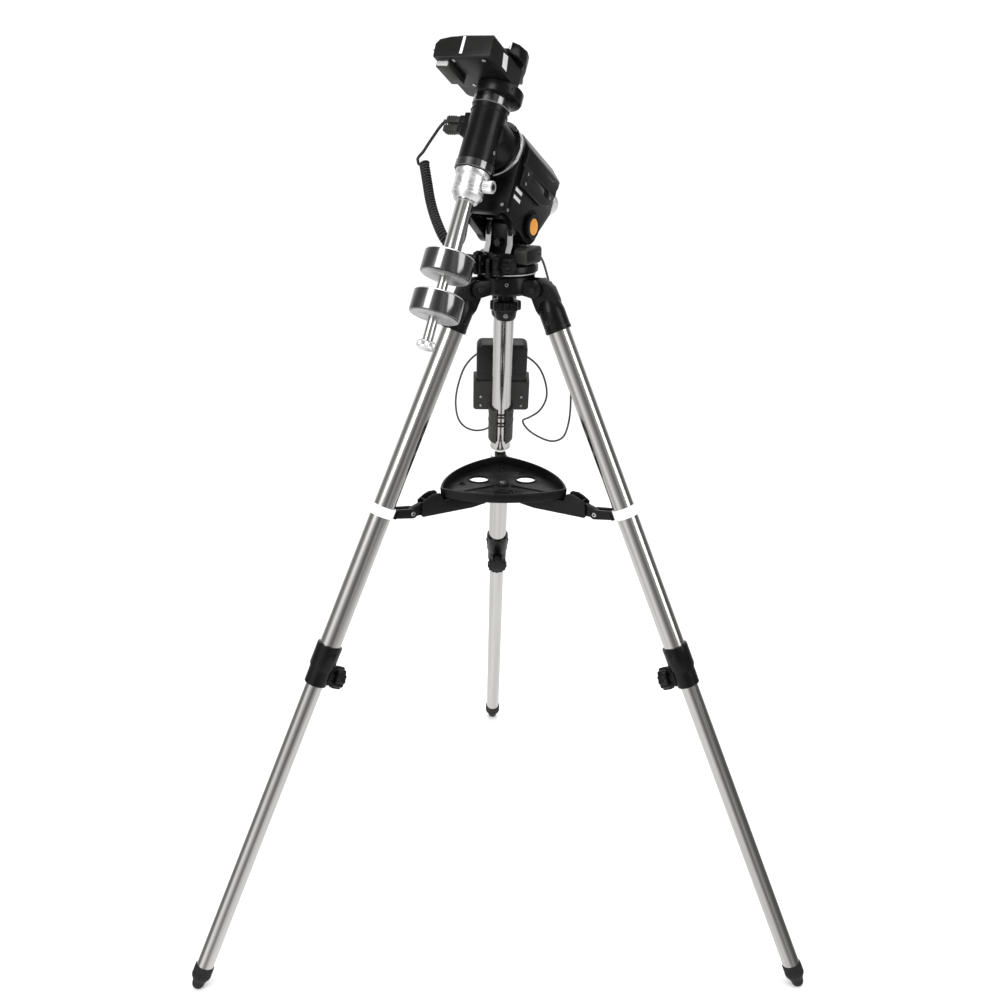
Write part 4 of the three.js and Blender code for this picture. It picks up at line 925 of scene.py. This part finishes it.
def collar_and_shaft():
    outline = [(8.8, -112), (19, -112), (20, -111), (23.6, -104), (25, -101), (25, -74), (26.4, -72),
               (28, -69), (28, -65), (27.4, -64.4), (8.8, -64.4)]
    at = (0, -86, 0)
    body = carved(lathe(outline, "y", segments=80), disc(4.4, 14, 40, "x", at, 0, 24))
    grooves = [ring(20, 25.4, y - 1.2, y + 1.2, "y", edge=0.5) for y in (-90, -96, -102)]
    piece("declination_end_collar", AXES, "dec_body",
          [(SILVER, body, ring(22, 25.6, -80, -76.6, "y"), *grooves)], ["dec_end_collar"])
    knob = moved(prism(lobes(10, 0.9, 20, 4), 27, 43.5, "yz", 1.2), shift(*at))
    parts = [(SILVER, knob), (SCREW, disc(4, 15.4, 27.5, "x", at, 0.3, 24)),
             (PLASTIC, disc(5, 43, 44, "x", at, 0.4))]
    piece("declination_clutch_knob", AXES, "dec_clutch", parts, ["dec_clutch_knob"])
    shaft = lathe([(0, -345), (7.7, -345), (8.5, -344.2), (8.5, -200.4), (9, -200), (13, -200), (14, -199),
                   (14, -116), (13, -112.4), (8.4, -112.4), (8.4, -78.4), (0, -78.4)], "y")
    starts = [-343.4 + 1.6 * k for k in range(9)]
    thread = [ring(8, 8.72, y, y + 0.7, "y", edge=0.3, segments=32) for y in starts]
    piece("counterweight_bar", AXES, "dec_body", [(SHAFT_STEEL, shaft, *thread)],
          ["counterweight_shaft"])
    knurl = prism(lobes(15.4, 0.8, 28, 4), 347.4, 355, "xz", 0.9)
    dome = lathe([(0, -358), (12, -358), (13, -357.4), (14.4, -356), (14.4, -347), (13, -345.4),
                  (0, -345.4)], "y")
    piece("bar_end_cap", AXES, "end_cap", [(SILVER, knurl, dome)], ["shaft_end_cap"])


def counterweight(name, centre):
    low, high = centre - 18.5, centre + 18.5

    def round_face(*outline, segments=128):
        return lathe(outline, "y", segments=segments)

    # The chrome sides carry painted dark reflections in their darkened colour.
    parts = [(DARK_REFLECTION_CHROME, round_face((38, low), (40.2, low + 1.2), (41, low + 3), (41, high - 3))),
             # The top chamfer takes near-white satin aluminium while the bottom one stays chrome: a painted
             # highlight on the edge.
             (SILVER, round_face((41, high - 3), (40.2, high - 1.2), (38.2, high))),
             (TURNED_FACE, round_face((8.9, low), (38, low))),
             (SHAFT_STEEL, round_face((8.9, high), (38.2, high))),
             (TURNED_FACE, round_face((8.9, low), (8.9, high), segments=64),
              ring(8.9, 12, low - 0.4, low + 0.6, "y")),
             (SHAFT_STEEL, ring(8.9, 12, high - 0.6, high + 0.4, "y"))]
    piece(f"chrome_weight_{name}", AXES, f"weight_{name}", parts, [f"counterweight_{name}"])
    at = (0, centre, 0)
    grip = moved(prism(lobes(8, 1.1, 14, 4), -60.6, -43, "xy", 1.3), shift(*at))
    parts = [(PLASTIC, grip, disc(5, -43.4, -41.4, "z", at, 0.3)),
             (SCREW, disc(3.9, -42, -9.6, "z", at, 0.4, 24))]
    piece(f"weight_thumb_screw_{name}", AXES, f"weight_{name}_screw", parts,
          [f"weight_screw_{name}"])


polar_shaft()
declination_housing()
declination_motor_cover()
saddle()
plugs()
collar_and_shaft()
counterweight("upper", -221)
counterweight("lower", -287)


# ---- hand control ----
def hand_control():
    place = LEG["rear"]
    body = carved(prism(rounded((-49, 49), (-328, -177), (8, 8, 12, 12)), 39, 67, "yz", 4),
                  prism(rounded((-31, 31), (-272, -192), 3), 64.8, 70, "yz", 0))
    seam = [(-47.6, -246), (47.6, -246), (47.6, -245), (-47.6, -245)]
    parts = [(CHARCOAL, body), (SCREEN, prism(rounded((-26, 26), (-188, -181), 1.5), 66.7, 67.4, "yz", 0.2)),
             (PLASTIC, prism(seam, 38.7, 67.2, "yz", 0.1))]
    piece("hand_control_body", place, "hand_control", parts, ["hand_control"])
    parts = [(RUBBER, prism(rounded((-30.6, 30.6), (-271.6, -192.4), 2.6), 66.3, 67.3, "yz", 0.4))]
    for row in range(5):
        for y in (-19, 0, 19):
            z = -264 + 16 * row
            key = prism(rounded((y - 6.5, y + 6.5), (z - 4.6, z + 4.6), 2.2), 67, 68.5, "yz", 0.6)
            parts.append((DARK_GREY if row < 4 else LIGHT_GREY, key))
    piece("hand_control_keys", place, "keys", parts, ["keypad"])
    shell = carved(prism(rounded((-55, 55), (-334, -262), (7, 7, 3, 3)), 36, 70, "yz", 2.2),
                   block((38.4, 67.6), (-49.6, 49.6), (-328.4, -250), 0),
                   block((60, 80), (-40, 40), (-316, -250), 2),
                   disc(7, -345, -320, at=(53, 0, 0), edge=0, segments=32))
    clip = carved(ring(19.4, 24.6, -382, -300, at=ON_TUBE),
                  block((-30, TUBE_OFFSET), (-9, 9), (-390, -290), 0))
    back = carved(block((TUBE_OFFSET + 20, 37.5), (-18, 18), (-380, -264), 2),
                  disc(19.4, -400, -250, at=ON_TUBE, edge=0, segments=64))
    parts = [(DARK_GREY, shell, clip, back)]
    for z in (-300, -322):
        for y in (-40, 40):
            parts += [(DARK_GREY, ring(22, 25.2, z - 14, z - 11, at=ON_TUBE)),
                      (SCREW, screw(2.6, 35.8, 34.6, "x", (0, y, z)))]
    piece("hand_control_pocket", place, "leg_rear", parts, ["hand_control_holder"])
    relief = lathe([(0, -352), (2.4, -352), (3.4, -334), (4.2, -329), (0, -329)], at=(53, 0, 0), segments=24)
    piece("hand_control_strain_relief", place, "leg_rear", [(RUBBER, relief)])


hand_control()


# ---- stage ----
def add_floor():
    mesh = bpy.data.meshes.new("floor")
    half = 12
    corners = [(-half, -half, 0), (half, -half, 0), (half, half, 0), (-half, half, 0)]
    mesh.from_pydata(corners, [], [(0, 1, 2, 3)])
    floor = placed("floor", mesh)
    nodes = Nodes("pale_floor", 0.9, specular=0.0)
    nodes.colour(nodes.noise(2), grey(0.95), grey(0.97))
    mesh.materials.append(nodes.material)
    floor.visible_glossy = False


def add_light(name, size, energy, place, target):
    data = bpy.data.lights.new(name, "AREA")
    data.shape = "RECTANGLE"
    data.size, data.size_y = size
    data.energy = energy
    light = placed(name, data)
    light.rotation_euler = (Vector(target) - Vector(place)).to_track_quat("-Z", "Y").to_euler()
    light.location = place


def add_world():
    """A white studio: even light, while polished metal reflects its walls, windows and dark corners."""
    world = bpy.data.worlds.new("studio")
    world.use_nodes = True
    bpy.context.scene.world = world
    tree = world.node_tree
    link = tree.links.new
    split = add_node(tree, "SeparateXYZ")
    link(add_node(tree, "TexCoord").outputs["Generated"], split.inputs["Vector"])
    heading = add_node(tree, "Math")
    heading.operation = "ARCTAN2"
    link(split.outputs["X"], heading.inputs[0])
    link(split.outputs["Y"], heading.inputs[1])
    turnwise = add_node(tree, "MapRange", From_Min=-math.pi, From_Max=math.pi)
    link(heading.outputs["Value"], turnwise.inputs["Value"])
    walls = [(0.0, 0.16), (0.04, 0.3), (0.1, 0.75), (0.14, 1.0), (0.17, 0.8), (0.21, 0.28), (0.28, 0.16),
             (0.33, 0.3), (0.4, 0.8), (0.5, 0.8), (0.6, 0.7), (0.66, 0.2), (0.73, 0.1), (0.8, 0.08),
             (0.88, 0.2), (0.92, 0.34), (0.97, 0.14), (1.0, 0.16)]
    stops = [(position, grey(value)) for position, value in walls]
    room = colour_ramp(tree, turnwise.outputs["Result"], stops)
    steep = add_node(tree, "MapRange", From_Min=-0.3, From_Max=-0.6)
    link(split.outputs["Z"], steep.inputs["Value"])
    floor_below = add_node(tree, "MixRGB", Color2=(0.8, 0.8, 0.8, 1))
    link(steep.outputs["Result"], floor_below.inputs["Fac"])
    link(room, floor_below.inputs["Color1"])
    mirrored = add_node(tree, "MixRGB", Color1=(0.86, 0.86, 0.86, 1))
    link(add_node(tree, "LightPath").outputs["Is Glossy Ray"], mirrored.inputs["Fac"])
    link(floor_below.outputs["Color"], mirrored.inputs["Color2"])
    background = set_inputs(tree.nodes["Background"], Strength=1.25)
    link(mirrored.outputs["Color"], background.inputs["Color"])


add_floor()
add_world()
add_light("key", (1.6, 2.2), 60, (-2.2, -2.6, 3.0), (0, 0, 1.0))
add_light("fill", (1.4, 2.4), 35, (2.6, -1.8, 2.2), (0, 0, 0.9))
add_light("top", (2.4, 2.4), 45, (0.2, 0.6, 4.0), (0, 0, 1.0))
